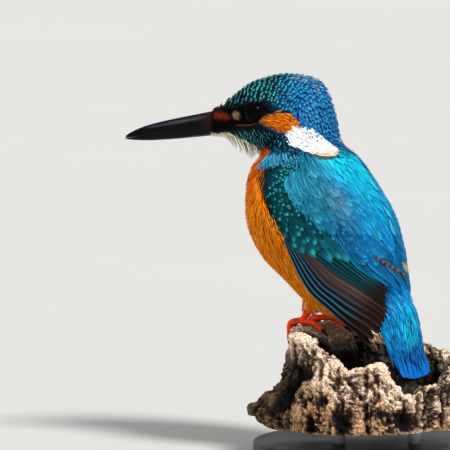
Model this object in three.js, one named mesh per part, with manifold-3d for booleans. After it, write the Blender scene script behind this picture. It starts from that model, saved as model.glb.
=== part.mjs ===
// Common kingfisher (Alcedo atthis), male, life size, gripping the broken rim of a short
// length of hollow stump that two rods hold on a round base. Millimetres, +Z up. The origin
// is on the floor under the middle of the whole. The bill points along -X; the trunk is
// turned from there towards +Y, so the bird's left side and back face -Y.

import * as THREE from 'three';
import { mergeVertices } from 'three/addons/utils/BufferGeometryUtils.js';
import Module from 'manifold-3d';

const wasm = await Module();
wasm.setup();

// ---- Driving dimensions -------------------------------------------------------------

const PARTING = 0.3; // clearance kept between neighbouring pieces

const TRUNK_YAW = 38; // degrees the trunk is turned from -X towards +Y
const HEAD_YAW = 6; // degrees the head is turned the same way
const FEET = { x: 4.6, y: 11, z: 46.5 }; // middle of the ridge that the toes grip
const NECK_PIVOT = { x: -3.8, y: 15.2 }; // upright line that the head turns about

const BILL = {
  base: new THREE.Vector3(-31.6, 18.1, 120.2), // on the line where the halves meet
  tip: new THREE.Vector3(-66.1, 21.7, 114.8),
  rootLength: 6, // hidden in the head
  upperHeight: 5.0,
  lowerDepth: 3.6,
  halfWidth: 4.2,
  tipHalfWidth: 0.3,
};

const EYE = { radius: 4.3, forward: 12.6, z: 125.5, sideways: 8.45 };

const HEAD_END = 5.5; // stations along the body where it is parted
const NECK_END = 6.9;
const TRUNK_END = 12.2;
const RUMP_END = 15;

const TAIL = {
  rootForward: -36.6, rootZ: 58,
  tipForward: -46.6, tipZ: 29.2,
  rootHalfWidth: 5.6, tipHalfWidth: 9.9,
  thickness: 0.8, stepHeight: 0.16, featherPairs: 6, roof: 1.6,
};

const LEG = { footSideways: 7, hipSideways: 7.5, hipForward: -6, hipZ: 55.5, radius: 1.35 };
const TOE = { radius: 1.15, tipRadius: 0.9, spread: 2.3 };
const CLAW = { radius: 0.62, tipRadius: 0.27, length: 3.1 };

const STUMP = {
  x: 28, y: -7, bottom: 12, hollowFloor: 20.5,
  hornAngle: 140, hornHalfArc: 21, hornRadius: 33.7, ridgeWidth: 8.4, edgeBevel: 1.2,
};

const STAND = {
  x: 24.2, y: 0, radius: 42, thickness: 4, bevel: 0.8,
  rodRadius: 2.5, rodSpacing: 28,
};

const COLOURS = {
  crown: 0x10507a, mantle: 0x0a86c4, trunk: 0xd4781c, rump: 0x0c9bd8,
  wing: 0x0b5f74, flight: 0x20343c, tail: 0x0f6fc4, bill: 0x15151a, eye: 0x0a0606,
  foot: 0xd4401c, claw: 0x191414, wood: 0x75685b, base: 0x2a2320, rod: 0x9a9ea3,
};

// ---- Frames -------------------------------------------------------------------------

const radians = THREE.MathUtils.degToRad;
const lerp = THREE.MathUtils.lerp;
const smoothstep = THREE.MathUtils.smoothstep;

// Forward, left and up of something turned by a yaw in degrees.
function heading(yaw) {
  const angle = radians(yaw);
  return {
    forward: new THREE.Vector3(-Math.cos(angle), Math.sin(angle), 0),
    left: new THREE.Vector3(-Math.sin(angle), -Math.cos(angle), 0),
    up: new THREE.Vector3(0, 0, 1),
  };
}

const TRUNK = heading(TRUNK_YAW);
const HEAD = heading(HEAD_YAW);

// A point of the trunk: forward of the feet's ridge, height above the floor, to the left.
function trunkPoint(forward, z, left = 0) {
  return new THREE.Vector3(FEET.x, FEET.y, z)
    .addScaledVector(TRUNK.forward, forward)
    .addScaledVector(TRUNK.left, left);
}

// A point of the head: forward of the neck's pivot, height above the floor, to the left.
function headPoint(forward, z, left = 0) {
  return new THREE.Vector3(NECK_PIVOT.x, NECK_PIVOT.y, z)
    .addScaledVector(HEAD.forward, forward)
    .addScaledVector(HEAD.left, left);
}

// ---- Body ribs ----------------------------------------------------------------------

// One cross-section: its middle, and how far it reaches towards the back (up), the belly
// (down) and the sides. Tilt leans the back direction from upright towards the tail.
function rib(centre, yaw, tilt, up, down, side) {
  const frame = heading(yaw);
  const dorsal = frame.forward.clone().multiplyScalar(-Math.sin(radians(tilt)))
    .addScaledVector(frame.up, Math.cos(radians(tilt)));
  return {
    centre,
    up: dorsal.clone().multiplyScalar(up),
    down: dorsal.clone().multiplyScalar(-down),
    side: frame.left.clone().multiplyScalar(side),
  };
}

const BODY_RIBS = [
  rib(headPoint(28.7, 120.8), 6, 0, 5.7, 5.1, 5.1), // 0 bill base
  rib(headPoint(25.7, 121.9), 6, 0, 6.3, 6.2, 5.9), // 1 lores
  rib(headPoint(19.7, 124.3), 6, 0, 8.5, 9.4, 8.6), // 2 forehead
  rib(headPoint(13.1, 125.3), 6, 0, 11.6, 14.2, 11.5), // 3 eye
  rib(headPoint(5.9, 125.3), 6, 18, 15, 17.7, 14), // 4 crown
  rib(headPoint(0, 122.8), 8, 38, 17.6, 19, 15.5), // 5 nape
  rib(headPoint(-1.9, 116.1), 16, 55, 17.3, 19.6, 17), // 6 hind neck
  rib(trunkPoint(7.4, 106.2), 28, 62, 17.8, 21.4, 19.4), // 7 shoulders
  rib(trunkPoint(2.9, 95.7), 38, 57, 22.6, 27.4, 21.2), // 8 breast
  rib(trunkPoint(-3.9, 85), 38, 55, 24, 26.8, 23), // 9
  rib(trunkPoint(-11.2, 75.6), 38, 55, 23.7, 23.4, 22.3), // 10 belly
  rib(trunkPoint(-17.8, 65.7), 38, 55, 21.3, 19.6, 19.6), // 11 flanks
  rib(trunkPoint(-22.7, 59.1), 38, 57, 18.8, 16, 16.6), // 12 vent
  rib(trunkPoint(-30.2, 54.4), 38, 62, 12.4, 12.6, 12.2), // 13 rump
  rib(trunkPoint(-36.8, 51.1), 38, 70, 8, 8, 10.6), // 14
  rib(trunkPoint(-40.6, 45), 38, 80, 4.6, 4.6, 10.8), // 15 tail coverts
];

// Behind the vent the folded wings leave the body and stand clear of the rump.
const WING_LEAVES = 12;
const WING_RIBS = [
  ...BODY_RIBS.slice(0, WING_LEAVES + 1),
  rib(trunkPoint(-28.4, 50.9), 38, 55, 18.4, 13, 13.9),
  rib(trunkPoint(-34.2, 42.7), 38, 55, 17.6, 8, 11.8),
  rib(trunkPoint(-39.9, 34.5), 38, 55, 16, 5, 9.8),
];

// Catmull-Rom weights of the four ribs around a place t between the middle two.
function splineWeights(t) {
  return [
    (-t + 2 * t ** 2 - t ** 3) / 2,
    (2 - 5 * t ** 2 + 3 * t ** 3) / 2,
    (t + 4 * t ** 2 - 3 * t ** 3) / 2,
    (-(t ** 2) + t ** 3) / 2,
  ];
}

function ribAt(ribs, station) {
  const whole = Math.min(Math.floor(station), ribs.length - 2);
  const weights = splineWeights(station - whole);
  const blended = {};
  for (const part of ['centre', 'up', 'down', 'side']) {
    blended[part] = new THREE.Vector3();
    weights.forEach((weight, k) => {
      const index = THREE.MathUtils.clamp(whole - 1 + k, 0, ribs.length - 1);
      blended[part].addScaledVector(ribs[index][part], weight);
    });
  }
  return blended;
}

// A point of the lofted surface at an angle round the rib, in degrees: 0 is the middle of
// the back, 90 the bird's left side, 180 the belly.
function surfacePoint(ribs, station, angle) {
  const { centre, up, down, side } = ribAt(ribs, station);
  const cosine = Math.cos(radians(angle));
  return centre.clone()
    .addScaledVector(cosine >= 0 ? up : down, Math.abs(cosine))
    .addScaledVector(side, Math.sin(radians(angle)));
}

// The same point lifted outwards along the surface normal.
function liftedPoint(ribs, station, angle, lift) {
  const step = 0.02;
  const back = Math.max(station - step, 0);
  const ahead = Math.min(station + step, ribs.length - 1);
  const along = surfacePoint(ribs, ahead, angle).sub(surfacePoint(ribs, back, angle));
  const round = surfacePoint(ribs, station, angle + 1).sub(surfacePoint(ribs, station, angle - 1));
  const normal = round.cross(along).normalize();
  return surfacePoint(ribs, station, angle).addScaledVector(normal, lift);
}

// ---- Meshes and solids --------------------------------------------------------------

// A geometry whose faces point outwards, from points and triples of their numbers.
function geometryOf(points, faces) {
  let volume = 0;
  for (const [a, b, c] of faces) {
    volume += points[a].dot(points[b].clone().cross(points[c]));
  }
  const outward = volume > 0 ? faces : faces.map(([a, b, c]) => [a, c, b]);
  const geometry = new THREE.BufferGeometry().setFromPoints(points);
  geometry.setIndex(outward.flat());
  geometry.computeVertexNormals();
  return geometry;
}

// A closed solid through rings of equally many points, with a fan over each end.
function loft(rings, endMiddle = null) {
  const count = rings[0].length;
  const middle = (ring) => ring
    .reduce((sum, point) => sum.add(point), new THREE.Vector3()).divideScalar(count);
  const points = [...rings.flat(), middle(rings[0]), endMiddle ?? middle(rings.at(-1))];
  const start = points.length - 2;
  const end = points.length - 1;
  const last = (rings.length - 1) * count;
  const faces = [];
  for (let k = 0; k < count; k += 1) {
    const next = (k + 1) % count;
    for (let row = 0; row < last; row += count) {
      faces.push([row + k, row + next, row + next + count]);
      faces.push([row + k, row + next + count, row + k + count]);
    }
    faces.push([start, next, k]);
    faces.push([end, last + k, last + next]);
  }
  return geometryOf(points, faces);
}

// A closed solid between two grids of points of the same size, joined round their edges.
function plate(outer, inner) {
  const rows = outer.length;
  const columns = outer[0].length;
  const size = rows * columns;
  const faces = [];
  for (let row = 0; row + 1 < rows; row += 1) {
    for (let column = 0; column + 1 < columns; column += 1) {
      const a = row * columns + column;
      const [b, c, d] = [a + 1, a + columns + 1, a + columns];
      faces.push([a, b, c], [a, c, d]);
      faces.push([size + a, size + c, size + b], [size + a, size + d, size + c]);
    }
  }
  const edge = [];
  for (let column = 0; column < columns; column += 1) edge.push(column);
  for (let row = 1; row < rows; row += 1) edge.push(row * columns + columns - 1);
  for (let column = columns - 2; column >= 0; column -= 1) edge.push((rows - 1) * columns + column);
  for (let row = rows - 2; row > 0; row -= 1) edge.push(row * columns);
  edge.forEach((a, k) => {
    const b = edge[(k + 1) % edge.length];
    faces.push([b, a, size + a], [b, size + a, size + b]);
  });
  return geometryOf([...outer.flat(), ...inner.flat()], faces);
}

// A round rod along a curve, with its radius a function of the place 0..1 and round ends.
function rod(curve, radiusAt, steps = 8, sides = 10) {
  const frames = curve.computeFrenetFrames(steps, false);
  const ring = (centre, k, radius) => Array.from({ length: sides }, (_, s) => {
    const angle = (2 * Math.PI * s) / sides;
    return centre.clone()
      .addScaledVector(frames.normals[k], radius * Math.cos(angle))
      .addScaledVector(frames.binormals[k], radius * Math.sin(angle));
  });
  const endRing = (k, sign, share) => {
    const radius = radiusAt(k / steps);
    const centre = curve.getPointAt(k / steps)
      .addScaledVector(frames.tangents[k], sign * radius * share);
    return ring(centre, k, radius * Math.sqrt(1 - share ** 2));
  };
  const middle = Array.from({ length: steps + 1 }, (_, k) =>
    ring(curve.getPointAt(k / steps), k, radiusAt(k / steps)));
  return loft([
    endRing(0, -1, 0.9), endRing(0, -1, 0.55), ...middle,
    endRing(steps, 1, 0.55), endRing(steps, 1, 0.9),
  ]);
}

function toSolid(geometry) {
  const bare = geometry.clone();
  bare.deleteAttribute('normal');
  bare.deleteAttribute('uv');
  const merged = mergeVertices(bare, 1e-4);
  return new wasm.Manifold(new wasm.Mesh({
    numProp: 3,
    vertProperties: new Float32Array(merged.attributes.position.array),
    triVerts: new Uint32Array(merged.index.array),
  }));
}

// Edges shorter than this, in millimetres, are closed up where a cut leaves them.
const SHORTEST_EDGE = 0.02;

function toGeometry(solid) {
  const mesh = solid.asOriginal().simplify(SHORTEST_EDGE).getMesh();
  const geometry = new THREE.BufferGeometry();
  geometry.setAttribute('position', new THREE.BufferAttribute(mesh.vertProperties, 3));
  geometry.setIndex(new THREE.BufferAttribute(mesh.triVerts, 1));
  geometry.computeVertexNormals();
  return geometry;
}

// The first geometry less all the others.
function cut(geometry, ...cutters) {
  return toGeometry(cutters.reduce(
    (solid, cutter) => solid.subtract(toSolid(cutter)),
    toSolid(geometry),
  ));
}

function joined(geometries) {
  return toGeometry(geometries.slice(1).reduce(
    (solid, piece) => solid.add(toSolid(piece)),
    toSolid(geometries[0]),
  ));
}

function finish(colour, roughness, metalness = 0) {
  return new THREE.MeshStandardMaterial({ color: colour, roughness, metalness });
}

// ---- Head, neck, trunk and rump -----------------------------------------------------

const RING_SIDES = 28;

function bodyLength(from, to, rings) {
  const sections = [];
  for (let k = 0; k <= rings; k += 1) {
    const station = lerp(from, to, k / rings);
    sections.push(Array.from({ length: RING_SIDES }, (_, s) =>
      surfacePoint(BODY_RIBS, station, (360 * s) / RING_SIDES)));
  }
  return loft(sections);
}

const PARTING_STATIONS = 0.026; // half a parting in stations, which lie about 7 mm apart

function eyeball(sign, clearance = 0) {
  const ball = new THREE.SphereGeometry(EYE.radius + clearance, 14, 8);
  const centre = headPoint(EYE.forward, EYE.z, sign * EYE.sideways);
  return ball.translate(centre.x, centre.y, centre.z);
}

function headGeometry() {
  return cut(
    bodyLength(0, HEAD_END - PARTING_STATIONS, 11),
    eyeball(1, PARTING),
    eyeball(-1, PARTING),
    billSocket(),
  );
}

function trunkGeometry() {
  return cut(
    bodyLength(NECK_END + PARTING_STATIONS, TRUNK_END - PARTING_STATIONS, 10),
    tarsus(1, PARTING),
    tarsus(-1, PARTING),
  );
}

function rumpGeometry() {
  return cut(
    bodyLength(TRUNK_END + PARTING_STATIONS, RUMP_END, 5),
    tailSocket(),
  );
}

// ---- Bill ---------------------------------------------------------------------------

// Height of the upper half and depth of the lower, at a share of the way to the tip.
function billHeight(share) {
  const taper = Math.max(1 - Math.max(share, 0) ** 5.5, 0) ** 0.75;
  return (BILL.upperHeight - 1.7 * share) * taper;
}

function billDepth(share) {
  const taper = Math.max(1 - Math.max(share, 0) ** 4, 0) ** 0.8;
  return (BILL.lowerDepth - 1.5 * share) * taper;
}

function billHalfWidth(share) {
  return BILL.tipHalfWidth + (BILL.halfWidth - BILL.tipHalfWidth) * (1 - share) ** 0.85;
}

// A section of one half: an arch over a flat along the line where the halves meet.
function billArch(share, reach, halfWidth, gap, sides = 9) {
  const along = BILL.tip.clone().sub(BILL.base).normalize();
  const left = HEAD.left;
  const up = along.clone().cross(left).normalize();
  const centre = BILL.base.clone().lerp(BILL.tip, share);
  return Array.from({ length: sides + 1 }, (_, k) => {
    const angle = (Math.PI * k) / sides;
    const rise = Math.sign(reach) * gap + reach * Math.sin(angle) ** 0.9;
    return centre.clone()
      .addScaledVector(left, halfWidth * Math.cos(angle))
      .addScaledVector(up, rise);
  });
}

const BILL_STATIONS = [0, 0.2, 0.4, 0.55, 0.68, 0.78, 0.86, 0.92, 0.965, 1];
const BILL_LENGTH = BILL.tip.distanceTo(BILL.base);
const BILL_ROOT = -BILL.rootLength / BILL_LENGTH;

function upperBill() {
  return loft([BILL_ROOT, ...BILL_STATIONS].map((share) =>
    billArch(share, Math.max(billHeight(share), 0.4), billHalfWidth(share), PARTING / 2)));
}

function lowerBill() {
  const shorter = 0.985;
  return loft([BILL_ROOT, ...BILL_STATIONS].map((share) =>
    billArch(share * shorter, -Math.max(billDepth(share), 0.4), billHalfWidth(share), PARTING / 2)));
}

function billSocket() {
  return loft([BILL_ROOT - PARTING / BILL_LENGTH, 0.1].map((share) => {
    const wide = billHalfWidth(share) + PARTING;
    const over = billArch(share, billHeight(share) + PARTING, wide, PARTING / 2);
    const under = billArch(share, -billDepth(share) - PARTING, wide, PARTING / 2);
    return [...over, ...under.reverse()];
  }));
}

// ---- Wings --------------------------------------------------------------------------

const COVERTS = { topAngle: 22, lowAngle: 100, topEnd: 11.7, lowEnd: 9.6 };

// Station where the coverts end and the flight feathers show, at an angle round the body.
function covertsEnd(angle) {
  const share = (angle - COVERTS.topAngle) / (COVERTS.lowAngle - COVERTS.topAngle);
  return lerp(COVERTS.topEnd, COVERTS.lowEnd, share);
}

// Station of the wing's front edge: it starts on the shoulder and rounds off at the wrist.
function wingFront(angle) {
  const fromMiddle = (angle - 58) / 40;
  return 6.86 + 0.55 * fromMiddle ** 4 + 0.1 * fromMiddle ** 2;
}

function wingPoint(station, angle, lift) {
  return liftedPoint(station <= WING_LEAVES ? BODY_RIBS : WING_RIBS, station, angle, lift);
}

function coverts(sign) {
  const rows = 7;
  const columns = 9;
  const grid = (liftAt) => Array.from({ length: rows + 1 }, (_, row) =>
    Array.from({ length: columns + 1 }, (_, column) => {
      const angle = lerp(COVERTS.topAngle, COVERTS.lowAngle, column / columns);
      const along = row / rows;
      const station = lerp(wingFront(angle), covertsEnd(angle) - PARTING_STATIONS, along);
      return wingPoint(station, sign * angle, liftAt(along, column / columns));
    }));
  const crowned = (along, across) => {
    const swell = Math.sin(Math.PI * Math.min(along * 1.25, 1)) * Math.sin(Math.PI * across);
    return 0.85 + 1.1 * swell;
  };
  return plate(grid(crowned), grid(() => PARTING));
}

// A fan of vanes that lie over each other like roof tiles. Roots and tips are curves of
// (station, angle); each vane is highest along its near edge and its tip is rounded. The
// near edge of the fan bows towards the belly by an angle.
function fan(sign, roots, tips, vanes, { lift, stepHeight, notch, bow }) {
  const shares = [0, 0.5, 0.95];
  const across = [];
  for (let vane = 0; vane < vanes; vane += 1) {
    across.push(...shares.map((share) => ({ place: (vane + share) / vanes, share })));
  }
  across.push({ place: 1, share: 0.95 });
  const rows = 4;
  const grid = (liftAt) => Array.from({ length: rows + 1 }, (_, row) =>
    across.map(({ place, share }) => {
      const root = roots.getPoint(place);
      const tip = tips.getPoint(place);
      const reach = (1 - notch * (2 * share - 0.95) ** 2) * (row / rows);
      const at = root.lerp(tip, reach);
      const bowed = at.y + bow * (1 - place) * Math.sin(Math.PI * reach);
      return wingPoint(at.x, sign * bowed, liftAt(row / rows, share));
    }));
  const tiled = (along, share) => {
    const height = lift + stepHeight * (1 - share);
    return lerp(height, Math.min(height, PARTING + 0.55), smoothstep(along, 0.75, 1));
  };
  return plate(grid(tiled), grid(() => PARTING));
}

const flat = (station, angle) => new THREE.Vector2(station, angle);

function secondaries(sign) {
  const start = (angle) => covertsEnd(angle) + PARTING_STATIONS;
  const roots = new THREE.LineCurve(flat(start(81), 81), flat(start(22), 22));
  const tips = new THREE.LineCurve(flat(13.25, 37.2), flat(13.15, 12));
  return fan(sign, roots, tips, 7, { lift: 1.0, stepHeight: 0.4, notch: 0.07, bow: 0 });
}

function primaries(sign) {
  const start = (angle) => covertsEnd(angle) + PARTING_STATIONS;
  const roots = new THREE.LineCurve(flat(start(100), 100), flat(start(82.5), 82.5));
  const tips = new THREE.SplineCurve([
    flat(14.1, 92), flat(13.9, 66), flat(13.6, 50), flat(13.3, 39.5),
  ]);
  return fan(sign, roots, tips, 8, { lift: 1.0, stepHeight: 0.35, notch: 0.035, bow: 7 });
}

// ---- Tail ---------------------------------------------------------------------------

// A closed fan between the feather edges given as shares of its half width, from -1 to 1.
// The middle pair of feathers lies on top and each pair outside it a step lower.
function tailFan(edges, stepOf, clearance) {
  const root = trunkPoint(TAIL.rootForward, TAIL.rootZ);
  const tip = trunkPoint(TAIL.tipForward, TAIL.tipZ);
  const length = tip.distanceTo(root);
  const along = tip.clone().sub(root).normalize();
  const dorsal = along.clone().cross(TRUNK.left).normalize();
  const rows = 4;
  const grid = (side) => Array.from({ length: rows + 1 }, (_, row) => edges.map((place) => {
    const share = (row / rows) * (1 - 0.06 * place ** 2);
    const half = lerp(TAIL.rootHalfWidth, TAIL.tipHalfWidth, share ** 0.6) + clearance;
    const top = TAIL.thickness / 2 + (side > 0 ? stepOf(place) : 0) + clearance;
    const height = side * top - TAIL.roof * share * place ** 2;
    return root.clone()
      .addScaledVector(along, share * length - (row === 0 ? clearance : 0))
      .addScaledVector(TRUNK.left, place * half)
      .addScaledVector(dorsal, height);
  }));
  return plate(grid(1), grid(-1));
}

function tailGeometry() {
  const edges = [];
  for (let feather = -TAIL.featherPairs; feather < TAIL.featherPairs; feather += 1) {
    const near = feather < 0 ? 0.06 : 0;
    edges.push((feather + near) / TAIL.featherPairs, (feather + near + 0.94) / TAIL.featherPairs);
  }
  const stepOf = (place) => {
    const feather = Math.min(Math.floor(Math.abs(place) * TAIL.featherPairs), TAIL.featherPairs - 1);
    return TAIL.stepHeight * (TAIL.featherPairs - feather);
  };
  return tailFan(edges, stepOf, 0);
}

function tailSocket() {
  return tailFan([-1, -0.5, 0, 0.5, 1], () => TAIL.stepHeight * TAIL.featherPairs, PARTING);
}

// ---- Legs, feet and claws -----------------------------------------------------------

const TOE_GAP = TOE.radius + PARTING; // height of a toe's middle over what it lies on

// The bark falls away from the ridge's straight edge as the stump's rim bends.
function onRim(forward, z, left) {
  return trunkPoint(forward - left ** 2 / (2 * STUMP.hornRadius), z, left);
}

function tarsus(sign, clearance = 0) {
  const hip = trunkPoint(LEG.hipForward, LEG.hipZ, sign * LEG.hipSideways);
  const ankle = trunkPoint(-0.4, FEET.z + TOE_GAP + 0.4, sign * LEG.footSideways);
  const radius = LEG.radius + clearance;
  return rod(new THREE.LineCurve3(hip, ankle), () => radius, 1, 10);
}

const RIDGE_EDGE = STUMP.ridgeWidth / 2;

// Each toe's path as (forward, height), and how far its tip stands to the outer side.
const TOES = [
  { name: 'inner', splay: -1, drop: 4.6 },
  { name: 'middle', splay: 0, drop: 6.3 },
  { name: 'outer', splay: 0.85, drop: 5.2 },
  { name: 'hind', splay: 0.1, drop: 0 },
];

function toePath({ splay, drop }, sign) {
  const top = FEET.z + TOE_GAP;
  const reach = (share) => sign * (LEG.footSideways + TOE.spread * splay * share);
  if (drop === 0) {
    return new THREE.CatmullRomCurve3([
      onRim(-0.4, top, reach(0)), onRim(-3.2, top, reach(0.3)),
      onRim(-5.4, top - 0.6, reach(0.7)), onRim(-8.6, top - 2.4, reach(1)),
    ]);
  }
  const front = RIDGE_EDGE - 0.2 + TOE_GAP;
  return new THREE.CatmullRomCurve3([
    onRim(-0.4, top, reach(0)), onRim(2.6, top, reach(0.75)),
    onRim(front - 0.5, top - 0.7, reach(1)), onRim(front, top - 3, reach(1)),
    onRim(front, top - 1.2 - drop, reach(1)),
  ]);
}

// Tarsus, joint and toes in one piece.
function leg(sign) {
  const ankle = trunkPoint(-0.4, FEET.z + TOE_GAP, sign * LEG.footSideways);
  const joint = new THREE.SphereGeometry(1.6, 10, 6).translate(ankle.x, ankle.y, ankle.z + 0.2);
  const toes = TOES.map((toe) => rod(
    toePath(toe, sign),
    (share) => lerp(TOE.radius, TOE.tipRadius, share) * (1 + 0.06 * Math.cos(6 * Math.PI * share)),
    5, 6,
  ));
  return joined([tarsus(sign), joint, ...toes]);
}

function claw(toe, sign) {
  const path = toePath(toe, sign);
  const end = path.getPoint(1);
  const along = path.getTangent(1).normalize();
  const down = toe.drop === 0
    ? new THREE.Vector3(0, 0, -1)
    : TRUNK.forward.clone().multiplyScalar(-1);
  const start = end.clone().addScaledVector(along, TOE.tipRadius + PARTING + CLAW.radius);
  const bend = start.clone().addScaledVector(along, CLAW.length * 0.35).addScaledVector(down, 0.05);
  const tip = start.clone().addScaledVector(along, CLAW.length * 0.6).addScaledVector(down, 0.5);
  return rod(
    new THREE.CatmullRomCurve3([start, bend, tip]),
    (share) => lerp(CLAW.radius, CLAW.tipRadius, share),
    2, 5,
  );
}

// ---- Perch --------------------------------------------------------------------------

// Height of the broken rim at angles round the stump's axis; the horn is added apart.
const RIM_HEIGHTS = [
  [0, 36], [45, 35.7], [90, 38], [142, 46], [180, 46], [205, 45], [220, 43],
  [235, 39.5], [250, 35.4], [270, 36], [290, 25], [315, 31],
];
const OUTER_RADII = [
  [0, 33], [45, 31.5], [90, 30], [140, 33.7], [180, 31.4], [200, 32], [225, 33.5],
  [270, 32], [315, 33],
];

// Value at an angle from a ring of (angle, value) pairs, eased from each to the next.
function roundAbout(table, angle) {
  const turn = ((angle % 360) + 360) % 360;
  const index = table.findLastIndex(([at]) => at <= turn);
  const [from, low] = table[index];
  const [to, high] = index + 1 < table.length ? table[index + 1] : [360, table[0][1]];
  return lerp(low, high, smoothstep(turn, from, to));
}

function angleFrom(angle, middle) {
  return Math.abs(((angle - middle + 540) % 360) - 180);
}

// 1 on the horn that the bird grips, 0 away from it.
function hornShare(angle) {
  return 1 - smoothstep(angleFrom(angle, STUMP.hornAngle), STUMP.hornHalfArc, 34);
}

// Long splits and ridges of the bark, in millimetres, none where the toes lie.
function barkRelief(angle, z) {
  const turn = radians(angle);
  const rise = 0.9 * Math.sin(9 * turn + 0.05 * z) + 0.6 * Math.sin(17 * turn + 1.3 + 0.09 * z);
  return rise * (1 - hornShare(angle) * smoothstep(z, 30, 36));
}

// The trunk widens downwards on the side under the horn, where a burl sticks out.
function flare(angle, z) {
  const side = Math.exp(-((angleFrom(angle, 180) / 48) ** 2));
  return 6.5 * side * (1 - smoothstep(z, STUMP.bottom, FEET.z - 8));
}

function burl(angle, z) {
  const round = Math.exp(-((angleFrom(angle, 190) / 18) ** 2));
  return 10 * round * Math.exp(-(((z - 17.5) / 6) ** 2));
}

function rimHeight(angle) {
  const turn = radians(angle);
  const jagged = 0.8 * Math.sin(11 * turn + 0.7) + 0.5 * Math.sin(23 * turn);
  const broken = roundAbout(RIM_HEIGHTS, angle) + jagged;
  return lerp(broken, FEET.z, hornShare(angle));
}

function outerRadius(angle, z) {
  const broad = roundAbout(OUTER_RADII, angle);
  const plain = lerp(broad, STUMP.hornRadius, hornShare(angle));
  return plain + barkRelief(angle, z) + flare(angle, z) + burl(angle, z);
}

function perchGeometry() {
  const count = 50;
  const ringAt = (radiusAndHeight) => Array.from({ length: count }, (_, k) => {
    const angle = (360 * k) / count;
    const [radius, z] = radiusAndHeight(angle);
    return new THREE.Vector3(
      STUMP.x + radius * Math.cos(radians(angle)),
      STUMP.y + radius * Math.sin(radians(angle)),
      z,
    );
  });
  const outside = (share) => ringAt((angle) => {
    const z = lerp(STUMP.bottom, rimHeight(angle) - STUMP.edgeBevel, share);
    return [outerRadius(angle, z), z];
  });
  const inside = (wall, fall, hornWall, hornFall) => ringAt((angle) => {
    const top = rimHeight(angle);
    const horn = hornShare(angle);
    const z = Math.max(top - lerp(fall, hornFall, horn), STUMP.hollowFloor + 0.6);
    return [outerRadius(angle, top) - lerp(wall, hornWall, horn), z];
  });
  const slope = Math.tan(radians(28));
  const rings = [
    ...[0, 0.17, 0.33, 0.5, 0.75, 1].map(outside),
    inside(STUMP.edgeBevel, 0, STUMP.edgeBevel, 0),
    inside(3.6, 0.4, STUMP.ridgeWidth, 0),
    inside(6.4, 2.2, STUMP.ridgeWidth + 8, 8 * slope),
    inside(8.2, 8, STUMP.ridgeWidth + 11, 12),
    inside(9.6, 14, STUMP.ridgeWidth + 12.5, 22),
    ringAt((angle) => [12.5 + 1.5 * Math.sin(radians(3 * angle)), STUMP.hollowFloor]),
  ];
  const floor = new THREE.Vector3(STUMP.x, STUMP.y, STUMP.hollowFloor - 0.5);
  return loft(rings, floor);
}

// ---- Stand --------------------------------------------------------------------------

function standBase() {
  const { radius, thickness, bevel } = STAND;
  const profile = [
    [0, 0], [radius - bevel / 2, 0], [radius, bevel / 2], [radius, thickness - bevel],
    [radius - bevel, thickness], [0, thickness],
  ].map(([x, y]) => new THREE.Vector2(x, y));
  return new THREE.LatheGeometry(profile, 36).rotateX(Math.PI / 2).translate(STAND.x, STAND.y, 0);
}

function standRod(sign) {
  const height = STUMP.bottom - STAND.thickness;
  return new THREE.CylinderGeometry(STAND.rodRadius, STAND.rodRadius, height, 20)
    .rotateX(Math.PI / 2)
    .translate(STUMP.x + (sign * STAND.rodSpacing) / 2, STUMP.y, STAND.thickness + height / 2);
}

// ---- Whole --------------------------------------------------------------------------

const kingfisher = new THREE.Group();

function addPiece(name, geometry, material) {
  const mesh = new THREE.Mesh(geometry, material);
  mesh.name = name;
  kingfisher.add(mesh);
}

const neckGeometry = bodyLength(HEAD_END + PARTING_STATIONS, NECK_END - PARTING_STATIONS, 4);
addPiece('head', headGeometry(), finish(COLOURS.crown, 0.7));
addPiece('neck', neckGeometry, finish(COLOURS.mantle, 0.7));
addPiece('trunk', trunkGeometry(), finish(COLOURS.trunk, 0.75));
addPiece('rump', rumpGeometry(), finish(COLOURS.rump, 0.6));
addPiece('tail', tailGeometry(), finish(COLOURS.tail, 0.5));
addPiece('bill_upper', upperBill(), finish(COLOURS.bill, 0.35));
addPiece('bill_lower', lowerBill(), finish(COLOURS.bill, 0.35));

for (const [side, sign] of [['left', 1], ['right', -1]]) {
  addPiece(`eye_${side}`, eyeball(sign), finish(COLOURS.eye, 0.05));
  addPiece(`wing_${side}_coverts`, coverts(sign), finish(COLOURS.wing, 0.6));
  addPiece(`wing_${side}_secondaries`, secondaries(sign), finish(COLOURS.wing, 0.5));
  addPiece(`wing_${side}_primaries`, primaries(sign), finish(COLOURS.flight, 0.5));
  addPiece(`leg_${side}`, leg(sign), finish(COLOURS.foot, 0.6));
  for (const toe of TOES) {
    addPiece(`claw_${side}_${toe.name}`, claw(toe, sign), finish(COLOURS.claw, 0.4));
  }
}

addPiece('perch_stump', perchGeometry(), finish(COLOURS.wood, 0.95));
addPiece('stand_base', standBase(), finish(COLOURS.base, 0.5));
addPiece('stand_rod_left', standRod(-1), finish(COLOURS.rod, 0.3, 1));
addPiece('stand_rod_right', standRod(1), finish(COLOURS.rod, 0.3, 1));

export default kingfisher;
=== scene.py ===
"""A male common kingfisher, life size, gripping the broken rim of a short hollow stump.

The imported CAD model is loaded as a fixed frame, and every piece here is worked out in the
same place: millimetres in the sums, metres in the meshes, +Z up, the bill along -X. The
plumage is laid on a chart of the body: a station counts the ribs from the bill's base to
the tail, and an angle in degrees goes round each rib, 0 on the middle of the back, +90 on
the bird's left side and 180 under the belly.
"""

import logging
from dataclasses import dataclass, field
from enum import Enum
from functools import cache

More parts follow.
